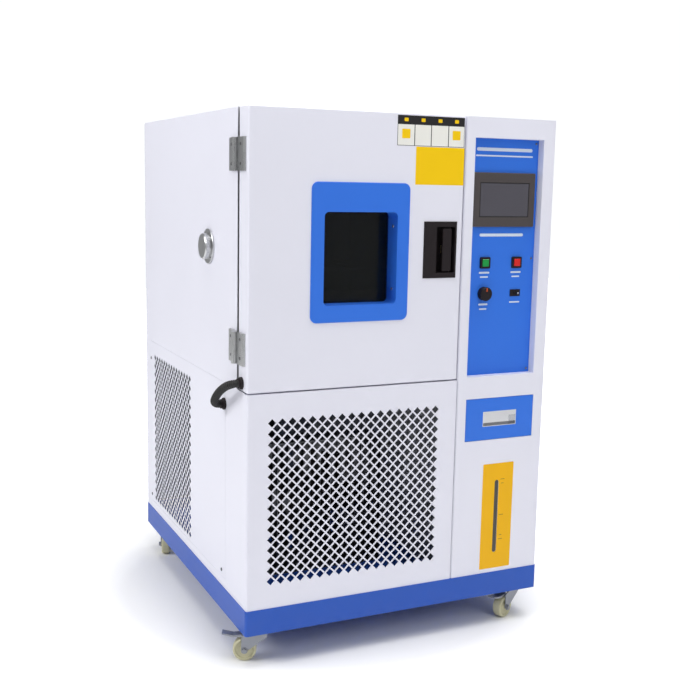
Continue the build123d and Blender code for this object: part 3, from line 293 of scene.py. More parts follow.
FINISHES = {
    "blue_paint": Finish("base_blue_paint", (30, 84, 184), 0.42, dust=0.12, tone=0.06, specular=0.35),
    "light_blue_paint": Finish("trim_blue_paint", (48, 114, 222), 0.42, tone=0.05, specular=0.35),
    "white_paint": Finish("cabinet_white_paint", (229, 229, 240), 0.42, tone=0.025, specular=0.4),
    "grey_paint": Finish("inner_grey_paint", (150, 152, 156), 0.5, dust=0.3),
    "black_paint": Finish("machine_black_paint", (22, 22, 24), 0.42, tone=0.2),
    "stainless": Finish("brushed_stainless", (196, 197, 198), 0.3, 1.0, Texture.BRUSHED_UP, 0.00003, 0.08,
                        rough_swing=0.16),
    "zinc_steel": Finish("zinc_plated_steel", (146, 149, 156), 0.44, 0.6, Texture.PLATED, 0.00005, 0.25,
                         40.0, 0.2),
    "chrome": Finish("pull_chrome", (214, 215, 218), 0.12, 1.0, Texture.POLISHED, 0.00001, 0.04,
                     rough_swing=0.05),
    "aluminium": Finish("mill_aluminium", (118, 120, 124), 0.45, 1.0, Texture.BRUSHED_ACROSS, 0.00003, 0.12),
    "foam": Finish("cream_foam", (214, 200, 150), 0.85, texture=Texture.FOAMED, relief=0.0004, tone=0.12),
    "seal_rubber": Finish("door_seal_rubber", (62, 62, 64), 0.6, texture=Texture.MOULDED, tone=0.1),
    "black_rubber": Finish("hose_rubber", (16, 15, 16), 0.5, texture=Texture.MOULDED, tone=0.25),
    "black_plastic": Finish("latch_black_plastic", (30, 23, 26), 0.55, texture=Texture.MOULDED, tone=0.12,
                            specular=0.25),
    "bezel_plastic": Finish("screen_bezel_plastic", (72, 66, 66), 0.4, texture=Texture.MOULDED, tone=0.06),
    "green_plastic": Finish("start_green_plastic", (8, 150, 62), 0.22, texture=Texture.POLISHED, coat=0.4,
                            tone=0.1),
    "red_plastic": Finish("stop_red_plastic", (214, 26, 22), 0.22, texture=Texture.POLISHED, coat=0.4,
                          tone=0.1),
    "yellow_plastic": Finish("sight_tube_plastic", (30, 28, 24), 0.16, texture=Texture.POLISHED, coat=0.5),
    "white_plastic": Finish("tank_white_plastic", (226, 226, 222), 0.4, texture=Texture.MOULDED),
    "wheel_plastic": Finish("wheel_cream_polyurethane", (206, 202, 166), 0.46, texture=Texture.MOULDED,
                            tone=0.12, dust=0.25),
    "clear_glass": Finish("window_glass", (16, 20, 20), 0.04, texture=Texture.POLISHED, relief=0.0, tone=0.0,
                          rough_swing=0.0, opacity=0.42),
    "screen_glass": Finish("screen_dark_glass", (78, 76, 84), 0.16, texture=Texture.POLISHED, relief=0.00001,
                           coat=0.6),
}
CARD_WHITE = Finish("card_white_vinyl", (236, 235, 228), 0.34, texture=Texture.MOULDED, relief=0.00001)
CARD_YELLOW = Finish("card_yellow_vinyl", (244, 200, 4), 0.4, texture=Texture.MOULDED, relief=0.00001,
                     specular=0.25)
CARD_BLACK = Finish("card_black_vinyl", (24, 22, 24), 0.36, texture=Texture.MOULDED, relief=0.00001)
GAUGE_YELLOW = Finish("gauge_yellow_plate", (238, 180, 0), 0.4, texture=Texture.MOULDED, relief=0.00001,
                      tone=0.04, specular=0.25)
INK_DARK = Finish("gauge_mark_ink", (90, 64, 6), 0.5, relief=0.0)
INK_PALE = Finish("caption_pale_ink", (214, 224, 238), 0.45, relief=0.0)
SCREW_STEEL = Finish("screw_steel", (128, 129, 132), 0.28, 1.0, Texture.PLATED, 0.00002, 0.2)
# Painted highlight: an orange finish for the plate that stands for the orange glint on the black limit dial.
GLINT_HIGHLIGHT_ORANGE = Finish("dial_glint_highlight_orange", (226, 84, 22), 0.3, texture=Texture.POLISHED)
FLOOR_WHITE = Finish("studio_floor", (250, 250, 250), 0.9, relief=0.0, tone=0.01, specular=0.1)
CASTERS = (("front_left", (-375.5, -448.0), 157.0), ("front_right", (420.5, -448.0), 203.0),
           ("rear_left", (-375.5, 448.0), 250.0), ("rear_right", (420.5, 448.0), 295.0))


# Mesh helpers


def add_object(name: str, mesh: bpy.types.Mesh, finish: Finish | None = None) -> bpy.types.Object:
    """Link a mesh into the scene as an object at the origin.

    Args:
        name: The object's name.
        mesh: Its mesh, in place.
        finish: Its finish, if the mesh has none yet.

    Returns:
        The new object.
    """
    mesh.name = name
    thing = bpy.data.objects.new(name, mesh)
    bpy.context.scene.collection.objects.link(thing)
    if finish:
        mesh.materials.clear()
        mesh.materials.append(finish.material())
    return thing


def mesh_of(build: bmesh.types.BMesh, smooth_angle: float | None = None) -> bpy.types.Mesh:
    """Turn a bmesh into a mesh and free it.

    Args:
        build: The bmesh.
        smooth_angle: Shade smooth below this angle in degrees, or flat if None.

    Returns:
        The mesh.
    """
    bmesh.ops.recalc_face_normals(build, faces=build.faces)
    mesh = bpy.data.meshes.new("piece")
    build.to_mesh(mesh)
    build.free()
    if smooth_angle is not None:
        mesh.shade_smooth()
        mesh.set_sharp_from_angle(angle=math.radians(smooth_angle))
    return mesh


def baked(thing: bpy.types.Object, name: str) -> bpy.types.Object:
    """Replace an object that has modifiers by a plain mesh of its evaluated shape.

    Args:
        thing: The object, which is removed.
        name: The new object's name.

    Returns:
        The plain object.
    """
    bpy.context.view_layer.update()
    graph = bpy.context.evaluated_depsgraph_get()
    mesh = bpy.data.meshes.new_from_object(thing.evaluated_get(graph), depsgraph=graph)
    bpy.data.objects.remove(thing, do_unlink=True)
    return add_object(name, mesh)


def outline(width: float, height: float, radius: float, steps: int = 6) -> list[Pair]:
    """List the points of a rounded rectangle about the origin.

    Args:
        width: Width in metres.
        height: Height in metres.
        radius: Corner radius in metres.
        steps: Segments in each corner.

    Returns:
        The points, anticlockwise.
    """
    points = []
    for quarter, (side_x, side_y) in enumerate(((1, 1), (-1, 1), (-1, -1), (1, -1))):
        for step in range(steps + 1):
            angle = math.pi / 2 * (quarter + step / steps)
            points.append((side_x * (width / 2 - radius) + radius * math.cos(angle),
                           side_y * (height / 2 - radius) + radius * math.sin(angle)))
    return points


def placed(centre: Point) -> Matrix:
    """Return the matrix that turns a piece from facing +Z to the front, onto a centre in millimetres."""
    return Matrix.Translation(Vector(centre) * MM) @ Euler(Facing.FRONT.value).to_matrix().to_4x4()


def bridge(build: bmesh.types.BMesh, low: list, high: list) -> None:
    """Join two rings of as many vertices by a band of faces."""
    for index in range(len(low)):
        other = (index + 1) % len(low)
        build.faces.new((low[index], low[other], high[other], high[index]))


def lathed(profile: list[Pair], segments: int = 48) -> bmesh.types.BMesh:
    """Turn a closed profile of radius and height about the Z axis.

    Args:
        profile: Radius and height of each point, in metres.
        segments: Steps round the axis.

    Returns:
        The turned shape.
    """
    build = bmesh.new()
    rings = []
    for step in range(segments):
        angle = math.tau * step / segments
        rings.append([build.verts.new((radius * math.cos(angle), radius * math.sin(angle), height))
                      for radius, height in profile])
    for here, after in zip(rings, rings[1:] + rings[:1]):
        bridge(build, after, here)
    bmesh.ops.remove_doubles(build, verts=build.verts, dist=MERGE)
    return build


@dataclass
class Plate:
    """A thin plate or card that faces the front, with rounded corners and a soft front edge.

    Attributes:
        name: The piece's name.
        centre: Middle of its back.
        size: Width and height in millimetres, as all sizes and places are here.
        finish: Its finish.
        thickness: Thickness.
        radius: Corner radius.
    """

    name: str
    centre: Point
    size: Pair
    finish: Finish
    thickness: float = 0.3
    radius: float = 1.0

    def build(self, body: str) -> None:
        """Make the plate and let it ride on a body.

        Args:
            body: The body it rides on.
        """
        build = bmesh.new()
        soft = min(self.thickness * EDGE_SHARE, EDGE_SHARE) * MM
        levels = ((0.0, 0.0), (0.0, self.thickness * MM - soft), (soft, self.thickness * MM))
        rings = []
        for inset, height in levels:
            width, height_over = (side * MM - 2 * inset for side in self.size)
            points = outline(width, height_over, max(self.radius * MM - inset, 10 * MERGE))
            rings.append([build.verts.new((across, up, height)) for across, up in points])
        for low, high in zip(rings, rings[1:]):
            bridge(build, low, high)
        build.faces.new(rings[-1])
        build.faces.new(list(reversed(rings[0])))
        build.transform(placed(self.centre))
        piece = add_object(self.name, mesh_of(build), self.finish)
        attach(piece, body)


# Geometry Nodes


def run_tree(thing: bpy.types.Object, tree: bpy.types.NodeTree, values: dict[str, object],
             name: str) -> bpy.types.Object:
    """Give an object a geometry tree with its inputs set, and bake the result.

    Args:
        thing: The object that carries the tree.
        tree: The geometry tree.
        values: A value for each named input.
        name: The baked object's name.

    Returns:
        The baked object.
    """
    modifier = thing.modifiers.new(tree.name, "NODES")
    modifier.node_group = tree
    keys = {item.name: item.identifier for item in tree.interface.items_tree
            if item.item_type == "SOCKET" and item.in_out == "INPUT"}
    for label, value in values.items():
        modifier[keys[label]] = value
    return baked(thing, name)


def finish_tree(tree: bpy.types.NodeTree, geometry: bpy.types.NodeSocket) -> None:
    """End a tree in Realize Instances and Set Material.

    Args:
        tree: The tree, which has a Material input.
        geometry: What it has made.
    """
    real = fed(tree.nodes.new("GeometryNodeRealizeInstances"), {0: geometry})
    paint = fed(tree.nodes.new("GeometryNodeSetMaterial"), {
        "Geometry": real.outputs[0], "Material": tree.nodes["in"].outputs["Material"]})
    fed(tree.nodes["out"], {0: paint.outputs[0]})


def diamond_tree() -> bpy.types.NodeTree:
    """Build the tree that makes a field of diamond holes from two interleaved grids of cells.

    Returns:
        The geometry tree, with inputs Pitch, Columns, Rows, Web, Thickness, Turn, Centre and Material.
    """
    tree = new_tree("Geometry", "diamond_field", {
        "Geometry": "Geometry", "Pitch": "Float", "Columns": "Int", "Rows": "Int", "Web": "Float",
        "Thickness": "Float", "Turn": "Vector", "Centre": "Vector", "Material": "Material"},
        {"Geometry": "Geometry"})
    nodes = tree.nodes
    source = nodes["in"].outputs
    outer = math_node(tree, "MULTIPLY", source["Pitch"], 0.5)
    inner = math_node(tree, "SUBTRACT", outer, math_node(tree, "MULTIPLY", source["Web"], math.sqrt(0.5)))
    diamonds = [fed(nodes.new("GeometryNodeCurvePrimitiveCircle"), {"Resolution": 4, "Radius": radius})
                for radius in (outer, inner)]
    edges = fed(nodes.new("GeometryNodeJoinGeometry"), {0: [item.outputs["Curve"] for item in diamonds]})
    filled = fed(nodes.new("GeometryNodeFillCurve"), {"Curve": edges.outputs[0]}).outputs[0]
    raised = fed(nodes.new("GeometryNodeExtrudeMesh"), {
        "Individual": False, "Mesh": filled, "Offset Scale": source["Thickness"]})
    flipped = fed(nodes.new("GeometryNodeFlipFaces"), {0: filled})
    cell = fed(nodes.new("GeometryNodeJoinGeometry"), {0: [raised.outputs["Mesh"], flipped.outputs[0]]})
    grids = []
    for fewer in (0, 1):
        grid = nodes.new("GeometryNodeMeshGrid")
        for count, size, vertices in (("Columns", "Size X", "Vertices X"), ("Rows", "Size Y", "Vertices Y")):
            number = math_node(tree, "SUBTRACT", source[count], float(fewer))
            gaps = math_node(tree, "SUBTRACT", number, 1.0)
            fed(grid, {vertices: number, size: math_node(tree, "MULTIPLY", gaps, source["Pitch"])})
        grids.append(grid.outputs["Mesh"])
    spots = fed(nodes.new("GeometryNodeJoinGeometry"), {0: grids})
    cells = fed(nodes.new("GeometryNodeInstanceOnPoints"), {
        "Points": spots.outputs[0], "Instance": cell.outputs[0]})
    moved = fed(nodes.new("GeometryNodeTransform"), {
        "Geometry": cells.outputs[0], "Translation": source["Centre"], "Rotation": source["Turn"]})
    finish_tree(tree, moved.outputs[0])
    return tree


def scatter_tree() -> bpy.types.NodeTree:
    """Build the tree that puts one small piece, such as a screw head, on each vertex.

    Returns:
        The geometry tree, with inputs Piece, Turn and Material.
    """
    tree = new_tree("Geometry", "piece_on_points", {
        "Geometry": "Geometry", "Piece": "Object", "Turn": "Vector", "Material": "Material"},
        {"Geometry": "Geometry"})
    source = tree.nodes["in"].outputs
    piece = fed(tree.nodes.new("GeometryNodeObjectInfo"), {"Object": source["Piece"]})
    spread = fed(tree.nodes.new("GeometryNodeInstanceOnPoints"), {
        "Points": source["Geometry"], "Instance": piece.outputs["Geometry"], "Rotation": source["Turn"]})
    finish_tree(tree, spread.outputs[0])
    return tree


def hose_tree() -> bpy.types.NodeTree:
    """Build the tree that gives a curve a ribbed tube.

    Returns:
        The geometry tree, with inputs Radius, Rib Depth, Rib Pitch and Material.
    """
    tree = new_tree("Geometry", "ribbed_hose", {
        "Geometry": "Geometry", "Radius": "Float", "Rib Depth": "Float", "Rib Pitch": "Float",
        "Material": "Material"}, {"Geometry": "Geometry"})
    nodes = tree.nodes
    source = nodes["in"].outputs
    even = nodes.new("GeometryNodeResampleCurve")
    even.mode = "LENGTH"
    fed(even, {"Curve": source["Geometry"], "Length": math_node(tree, "DIVIDE", source["Rib Pitch"], 6.0)})
    along = nodes.new("GeometryNodeSplineParameter")
    phase = math_node(tree, "DIVIDE", along.outputs["Length"], source["Rib Pitch"])
    wave = math_node(tree, "SINE", math_node(tree, "MULTIPLY", phase, math.tau))
    drop = math_node(tree, "MULTIPLY", math_node(tree, "SUBTRACT", 1.0, wave), source["Rib Depth"])
    width = math_node(tree, "SUBTRACT", source["Radius"], math_node(tree, "MULTIPLY", drop, 0.5))
    circle = fed(nodes.new("GeometryNodeCurvePrimitiveCircle"), {"Resolution": 24, "Radius": 1.0})
    tube = fed(nodes.new("GeometryNodeCurveToMesh"), {
        "Curve": even.outputs[0], "Profile Curve": circle.outputs[0], "Scale": width, "Fill Caps": True})
    finish_tree(tree, tube.outputs[0])
    return tree


@dataclass(frozen=True)
class DiamondGrille:
    """A sheet panel with a field of diamond holes, in place of the coarser solid.

    Attributes:
        node: The solid it replaces.
        centre: Middle of the field on the panel's outer face, in millimetres, as all sizes are.
        columns: Holes across the wider grid.
        rows: Holes up the wider grid.
        facing: The way the panel faces.
        flange: Depth of the folded edges, or 0 for a flat sheet.
        pitch: Distance between holes of one grid.
        web: Width of metal between holes.
        sheet: Sheet thickness.
        fold_radius: Radius of the left fold.
    """

    node: str
    centre: Point
    columns: int
    rows: int
    facing: Facing
    flange: float = 0.0
    pitch: float = 28.0
    web: float = 4.1
    sheet: float = 1.5
    fold_radius: float = 6.0

    def field(self) -> bpy.types.Object:
        """Make the field of holes with the geometry tree."""
        carrier = add_object("field", bpy.data.meshes.new("field"))
        inward = Euler(self.facing.value).to_matrix() @ Vector((0, 0, -self.sheet * MM))
        return run_tree(carrier, bpy.data.node_groups["diamond_field"], {
            "Pitch": self.pitch * MM, "Columns": self.columns, "Rows": self.rows, "Web": self.web * MM,
            "Thickness": self.sheet * MM, "Turn": self.facing.value,
            "Centre": tuple(Vector(self.centre) * MM + inward),
            "Material": FINISHES["white_paint"].material()}, "field")

    def border(self) -> bpy.types.Object:
        """Make the plain sheet round the field, with its zigzag inner edge and any folded edges."""
        turn = Euler(self.facing.value).to_matrix()
        back = turn.inverted()
        low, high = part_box(self.node)
        corners = [back @ (Vector(corner) - Vector(self.centre) * MM) for corner in (low, high)]
        left, right = sorted(corner.x for corner in corners)
        bottom, top = sorted(corner.y for corner in corners)
        half = self.pitch * MM / 2
        half_x, half_y = self.columns * half, self.rows * half
        build = bmesh.new()

        def face(*points: tuple[float, ...]) -> None:
            """Add one face from points across, up and out."""
            build.faces.new([build.verts.new((*point, 0.0)[:3]) for point in points])

        radius = self.fold_radius * MM if self.flange else 0.0
        face((left + radius, bottom), (right, bottom), (right, -half_y), (left + radius, -half_y))
        face((left + radius, half_y), (right, half_y), (right, top), (left + radius, top))
        face((left + radius, -half_y), (-half_x, -half_y), (-half_x, half_y), (left + radius, half_y))
        face((half_x, -half_y), (right, -half_y), (right, half_y), (half_x, half_y))
        for side in (-1, 1):
            for index in range(self.columns + 1):
                middle = (index - self.columns / 2) * 2 * half
                start, stop = max(middle - half, -half_x), min(middle + half, half_x)
                tip = (max(min(middle, half_x), -half_x), side * (half_y - half))
                face((start, side * half_y), (stop, side * half_y), tip)
            for index in range(1, self.rows):
                middle = (index - self.rows / 2) * 2 * half
                face((side * half_x, middle - half), (side * half_x, middle + half),
                     (side * (half_x - half), middle))
        if self.flange:
            deep = -self.flange * MM
            steps = [(left + radius - radius * math.sin(a), -radius + radius * math.cos(a))
                     for a in [math.pi / 2 * step / 6 for step in range(7)]]
            for (x_a, z_a), (x_b, z_b) in zip(steps, steps[1:]):
                face((x_a, bottom, z_a), (x_a, top, z_a), (x_b, top, z_b), (x_b, bottom, z_b))
            face((left, bottom, -radius), (left, top, -radius), (left, top, deep), (left, bottom, deep))
            face((right, bottom, 0), (right, bottom, deep), (right, top, deep), (right, top, 0))
            for edge in (bottom, top):
                face(*[(x, edge, z) for x, z in steps], (left, edge, deep), (right, edge, deep),
                     (right, edge, 0))
        bmesh.ops.remove_doubles(build, verts=build.verts, dist=MERGE)
        build.normal_update()
        inside = Vector(((left + right) / 2, (bottom + top) / 2, -max(self.flange, 1.0) * MM / 2))
        wrong = [item for item in build.faces if item.normal.dot(item.calc_center_median() - inside) < 0]
        bmesh.ops.reverse_faces(build, faces=wrong)
        build.transform(Matrix.Translation(Vector(self.centre) * MM) @ turn.to_4x4())
        mesh = bpy.data.meshes.new("border")
        build.to_mesh(mesh)
        build.free()
        sheet = add_object("border", mesh, FINISHES["white_paint"])
        solid = sheet.modifiers.new("sheet", "SOLIDIFY")
        solid.thickness = self.sheet * MM
        solid.offset = -1.0
        return baked(sheet, "border")

    def build(self) -> None:
        """Make the whole panel as one piece and let it stand for its solid."""
        build = bmesh.new()
        for part in (self.border(), self.field()):
            build.from_mesh(part.data)
            bpy.data.objects.remove(part, do_unlink=True)
        mesh = bpy.data.meshes.new(self.node)
        build.to_mesh(mesh)
        build.free()
        panel = add_object(f"{self.node}_perforated", mesh, FINISHES["white_paint"])
        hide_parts(self.node)
        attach(panel, "cabinet")
        log.info("grille %s", panel.name)


@dataclass
class ScrewSet:
    """Cross-head screws of one size, all facing one way on one body.

    Attributes:
        name: The piece's name.
        body: The body it rides on.
        facing: The way the heads face.
        places: Where the heads sit, in millimetres, as all sizes are.
        radius: Head radius.
        height: Head height.
        finish: The heads' finish.
        rings: Radius and height of each step of the dome, as shares of the head's.
        arm: Half the width of the cross, as a share of the radius.
        reach: Half the length of the cross, as a share of the radius.
        depth: Height of the cross's floor, as a share of the head's.
    """

    name: str
    body: str
    facing: Facing
    places: Points | list[Point]
    radius: float
    height: float
    finish: Finish = SCREW_STEEL
    rings: tuple[Pair, ...] = ((0.78, 1.0), (0.93, 0.8), (1.0, 0.45), (1.0, 0.0))
    arm: float = 0.13
    reach: float = 0.56
    depth: float = 0.45

    def head(self) -> bpy.types.Object:
        """Make one domed head with a cross recess, facing +Z."""
        size, tall = self.radius * MM, self.height * MM
        build = bmesh.new()
        arm, reach = self.arm * size, self.reach * size
        cross = [(arm, arm), (arm, reach), (-arm, reach), (-arm, arm), (-reach, arm),
                 (-reach, -arm), (-arm, -arm), (-arm, -reach), (arm, -reach), (arm, -arm), (reach, -arm),
                 (reach, arm)]
        floor = [build.verts.new((x, y, self.depth * tall)) for x, y in cross]
        rim = [build.verts.new((x, y, tall)) for x, y in cross]
        build.faces.new(floor)
        bridge(build, floor, rim)
        last = rim
        for share, height in self.rings:
            ring = []
            for x, y in cross:
                way = Vector((x, y)).normalized() * size * share
                ring.append(build.verts.new((way.x, way.y, tall * height)))
            bridge(build, last, ring)
            last = ring
        build.faces.new(last)
        return add_object("head", mesh_of(build), self.finish)

    def build(self) -> None:
        """Put a head on each place with the geometry tree, all as one piece."""
        points = bpy.data.meshes.new("points")
        points.from_pydata([tuple(value * MM for value in place) for place in self.places], [], [])
        head = self.head()
        screws = run_tree(add_object("points", points), bpy.data.node_groups["piece_on_points"],
                          {"Piece": head, "Turn": self.facing.value, "Material": self.finish.material()},
                          self.name)
        bpy.data.objects.remove(head, do_unlink=True)
        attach(screws, self.body)
        log.info("screws %s", self.name)


@dataclass
class Cabinet:
    """The cabinet's shell: grilles, side screws, port ring and panel screws."""

    front_grille: DiamondGrille = DiamondGrille(
        "front_lower_panel", (-122.0, -500.0, 443.5), 18, 16, Facing.FRONT, flange=20.0)
    side_grille: DiamondGrille = DiamondGrille(
        "left_machine_panel", (-427.5, 194.0, 443.5), 15, 18, Facing.LEFT, web=3.8, sheet=1.2)
    side_screws: Points = ((-427.5, 438.0, 674.0), (-427.5, 438.0, 207.0), (-427.5, -302.0, 205.0))
    port_centre: Point = (-432.5, -190.0, 1083.0)
    vent_places: Points = ((-123.25, 498.5, 420.0), (-123.25, 498.5, 1083.0))
    vent_screen: Pair = (316.0, 154.0)
    panel_head: Pair = (5.0, 2.0)
    port_head: Pair = (2.6, 1.2)
    port_circle: float = 41.0

    def build(self) -> None:
        """Make the grilles and the screws."""
        for grille in (self.front_grille, self.side_grille):
            grille.build()
        for index, place in enumerate(self.vent_places):
            Plate(f"vent_dust_screen_{index + 1}", place, self.vent_screen, FINISHES["black_rubber"],
                  thickness=0.4, radius=3.0).build("cabinet")
        ScrewSet("side_panel_screws", "cabinet", Facing.LEFT, self.side_screws, *self.panel_head).build()
        x, y, z = self.port_centre
        turns = [math.pi / 4 + quarter * math.pi / 2 for quarter in range(4)]
        around = [(x, y + self.port_circle * math.cos(turn), z + self.port_circle * math.sin(turn))
                  for turn in turns]
        ScrewSet("port_ring_screws", "cabinet", Facing.LEFT, around, *self.port_head).build()


@dataclass
class Hinges:
    """Screws on the hinge leaves: two on each leaf, facing left."""

    heights: Pair = (842.0, 1325.0)
    face: float = -434.5
    axis_y: float = -429.0
    reach: float = 34.0
    spread: float = 24.0
    head: Pair = (4.2, 1.2)

    def build(self) -> None:
        """Make the screws of both bodies."""
        for body, side in (("cabinet", 1), ("door", -1)):
            places = [(self.face, self.axis_y + side * self.reach, height + rise)
                      for height in self.heights for rise in (-self.spread, self.spread)]
            ScrewSet(f"hinge_{body}_screws", body, Facing.LEFT, places, *self.head).build()


@dataclass
class Door:
    """What the door carries: bare cards, a bare yellow plate and the window's reveal screws."""

    face: float = -500.0
    card_edges: tuple[float, ...] = (-23.5, 27.0, 76.2, 128.0, 176.5)
    card_low: float = 1357.5
    card_high: float = 1434.5
    header: float = 22.0
    yellow_place: Point = (105.5, -500.0, 1307.25)
    yellow_size: Pair = (146.0, 97.5)
    backing: float = 0.3
    card: float = 0.2
    mark: float = 0.15
    card_line: float = 2.4
    mark_side: float = 24.0
    mark_rise: float = 3.0
    mark_corner: float = 2.0
    blank_corner: float = 11.5
    head_mark: Pair = (12.0, 9.0)
    reveal_screws: Points = ((-17.0, -478.0, 1150.0), (-17.0, -478.0, 985.0))
    reveal_head: Pair = (4.0, 1.6)

    def build(self) -> None:
        """Make the cards, the plate and the screws."""
        width = self.card_edges[-1] - self.card_edges[0]
        middle = (self.card_edges[-1] + self.card_edges[0]) / 2
        Plate("card_backing", (middle, self.face, (self.card_low + self.card_high) / 2),
              (width, self.card_high - self.card_low), CARD_BLACK, self.backing).build("door")
        top = self.card_high - self.header
        centre = (self.card_low + top) / 2
        front = self.face - self.backing
        for index, (left, right) in enumerate(zip(self.card_edges, self.card_edges[1:])):
            middle = (left + right) / 2
            blank = index in (1, 2)
            Plate(f"card_field_{index + 1}", (middle, front, centre),
                  (right - left - self.card_line, top - self.card_low - self.card_line),
                  CARD_WHITE, self.card).build("door")
            Plate(f"card_mark_{index + 1}", (middle, front - self.card, centre + self.mark_rise),
                  (self.mark_side, self.mark_side), CARD_WHITE if blank else CARD_YELLOW,
                  self.mark, self.blank_corner if blank else self.mark_corner).build("door")
            Plate(f"card_head_{index + 1}", (middle, front, self.card_high - self.header / 2),
                  self.head_mark, CARD_YELLOW, self.card, self.mark_corner).build("door")
        Plate("yellow_plate", self.yellow_place, self.yellow_size, CARD_YELLOW, self.backing).build("door")
        ScrewSet("window_reveal_screws", "door", Facing.LEFT, self.reveal_screws, *self.reveal_head,
                 FINISHES["chrome"]).build()


@dataclass
class ControlColumn:
    """Plates on the control column: captions, panel screws and the gauge plate with its marks."""

    panel: float = -475.0
    gauge_place: Point = (329.2, -500.0, 326.9)
    gauge_size: Pair = (101.8, 310.2)
    gauge_sheet: float = 0.5
    gauge_corner: float = 3.0
    gauge_steps: int = 12
    slot_offset: Pair = (-3.7, -0.9)
    slot_size: Pair = (13.4, 214.0)
    slot_radius: float = 6.65
    marks: tuple[float, ...] = (434.0, 422.0, 329.0, 268.5, 256.5)
    mark_x: float = 344.5
    mark_lengths: Pair = (14.0, 9.0)
    mark_height: float = 1.4
    ink: float = 0.15
    screen_edge: float = 2.6
    captions: tuple[tuple[float, ...], ...] = (
        (271.3, 1022.0, 34, 5), (271.3, 1010.0, 26, 4), (374.8, 1022.0, 34, 5), (374.8, 1010.0, 26, 4),
        (271.3, 934.0, 30, 5), (271.3, 921.0, 24, 4), (374.8, 938.0, 34, 4), (323.0, 1357.0, 180, 9),
        (323.0, 1340.0, 184, 4), (323.0, 1125.5, 142, 8))
    screw_x: Pair = (221.0, 425.0)
    screw_z: tuple[float, ...] = (1376.0, 1060.0, 746.0)
    screw_head: Pair = (3.2, 1.4)
    # Place and size of the painted orange highlight on the limit dial.
    glint_highlight_place: Point = (271.25, -493.3, 976.0)
    glint_highlight_size: Pair = (3.0, 10.0)

    def gauge_plate(self) -> None:
        """Make the yellow plate with its slot, as a ring of strips round the slot."""
        build = bmesh.new()
        slot = outline(*self.slot_size, self.slot_radius, self.gauge_steps)
        hole = [(x + self.slot_offset[0], z + self.slot_offset[1]) for x, z in slot]
        rim = outline(*self.gauge_size, self.gauge_corner, self.gauge_steps)
        rings = []
        for points, height in ((hole, 0.0), (hole, self.gauge_sheet), (rim, self.gauge_sheet), (rim, 0.0)):
            rings.append([build.verts.new((x * MM, z * MM, height * MM)) for x, z in points])
        for low, high in zip(rings, rings[1:] + rings[:1]):
            bridge(build, low, high)
        build.transform(placed(self.gauge_place))
        plate = add_object("gauge_plate", mesh_of(build), GAUGE_YELLOW)
        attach(plate, "cabinet")
        log.info("plate %s", plate.name)

    def screen_frame(self) -> None:
        """Make the four dark strips round the touch screen's glass."""
        low, high = ([value / MM for value in corner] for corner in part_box("hmi_glass"))
        width, height = high[0] - low[0], high[2] - low[2]
        x, z = (low[0] + high[0]) / 2, (low[2] + high[2]) / 2
        for index, (across, up) in enumerate(((0, 1), (0, -1), (1, 0), (-1, 0))):
            size = (width, self.screen_edge) if up else (self.screen_edge, height)
            centre = (x + across * (width - self.screen_edge) / 2, low[1],
                      z + up * (height - self.screen_edge) / 2)
            Plate(f"screen_edge_{index + 1}", centre, size, CARD_BLACK, thickness=0.2,
                  radius=0.2).build("cabinet")

    def build(self) -> None:
        """Make the plates, the marks, the screws and the painted orange highlight on the limit dial."""
        self.gauge_plate()
        self.screen_frame()
        for index, height in enumerate(self.marks):
            Plate(f"gauge_mark_{index + 1}", (self.mark_x, self.gauge_place[1] - self.gauge_sheet, height),
                  (self.mark_lengths[index % 2], self.mark_height), INK_DARK, thickness=0.1,
                  radius=0.5).build("cabinet")
        for index, (x, z, width, height) in enumerate(self.captions):
            Plate(f"caption_bar_{index + 1}", (x, self.panel, z), (width, height), INK_PALE, self.ink,
                  height / 2 - 0.1).build("cabinet")
        places = [(x, self.panel, z) for x in self.screw_x for z in self.screw_z]
        ScrewSet("control_panel_screws", "cabinet", Facing.FRONT, places, *self.screw_head).build()
        # Painted highlight: the orange glint on the limit dial, drawn as a thin orange plate.
        Plate("dial_pointer", self.glint_highlight_place, self.glint_highlight_size, GLINT_HIGHLIGHT_ORANGE,
              thickness=0.4, radius=1.2).build("limit_dial")


@dataclass
class Hose:
    """The ribbed conduit that crosses the hinge gap from the cabinet to the door."""

    route: Points = ((-439.5, -324.0, 674.0), (-461.5, -324.0, 674.0), (-464.5, -384.0, 720.0),
                     (-461.5, -460.0, 754.0), (-439.5, -460.0, 754.0))
    radius: float = 10.9
    rib_depth: float = 1.6
    rib_pitch: float = 4.2
    bend: Pair = (-396.0, -452.0)

    def build(self) -> None:
        """Make the hose along its route."""
        curve = bpy.data.curves.new("route", "CURVE")
        curve.dimensions = "3D"
        curve.resolution_u = 24
        spline = curve.splines.new("NURBS")
        spline.points.add(len(self.route) - 1)
        for point, place in zip(spline.points, self.route):
            point.co = (*[value * MM for value in place], 1.0)
        spline.order_u = 3
        spline.use_endpoint_u = True
        carrier = bpy.data.objects.new("route", curve)
        bpy.context.scene.collection.objects.link(carrier)
        hose = run_tree(carrier, bpy.data.node_groups["ribbed_hose"], {
            "Radius": self.radius * MM, "Rib Depth": self.rib_depth * MM, "Rib Pitch": self.rib_pitch * MM,
            "Material": FINISHES["black_rubber"].material()}, "conduit_hose")
        hose.data.shade_smooth()
        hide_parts("conduit")
        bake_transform(hose)
        log.info("hose %s", hose.name)


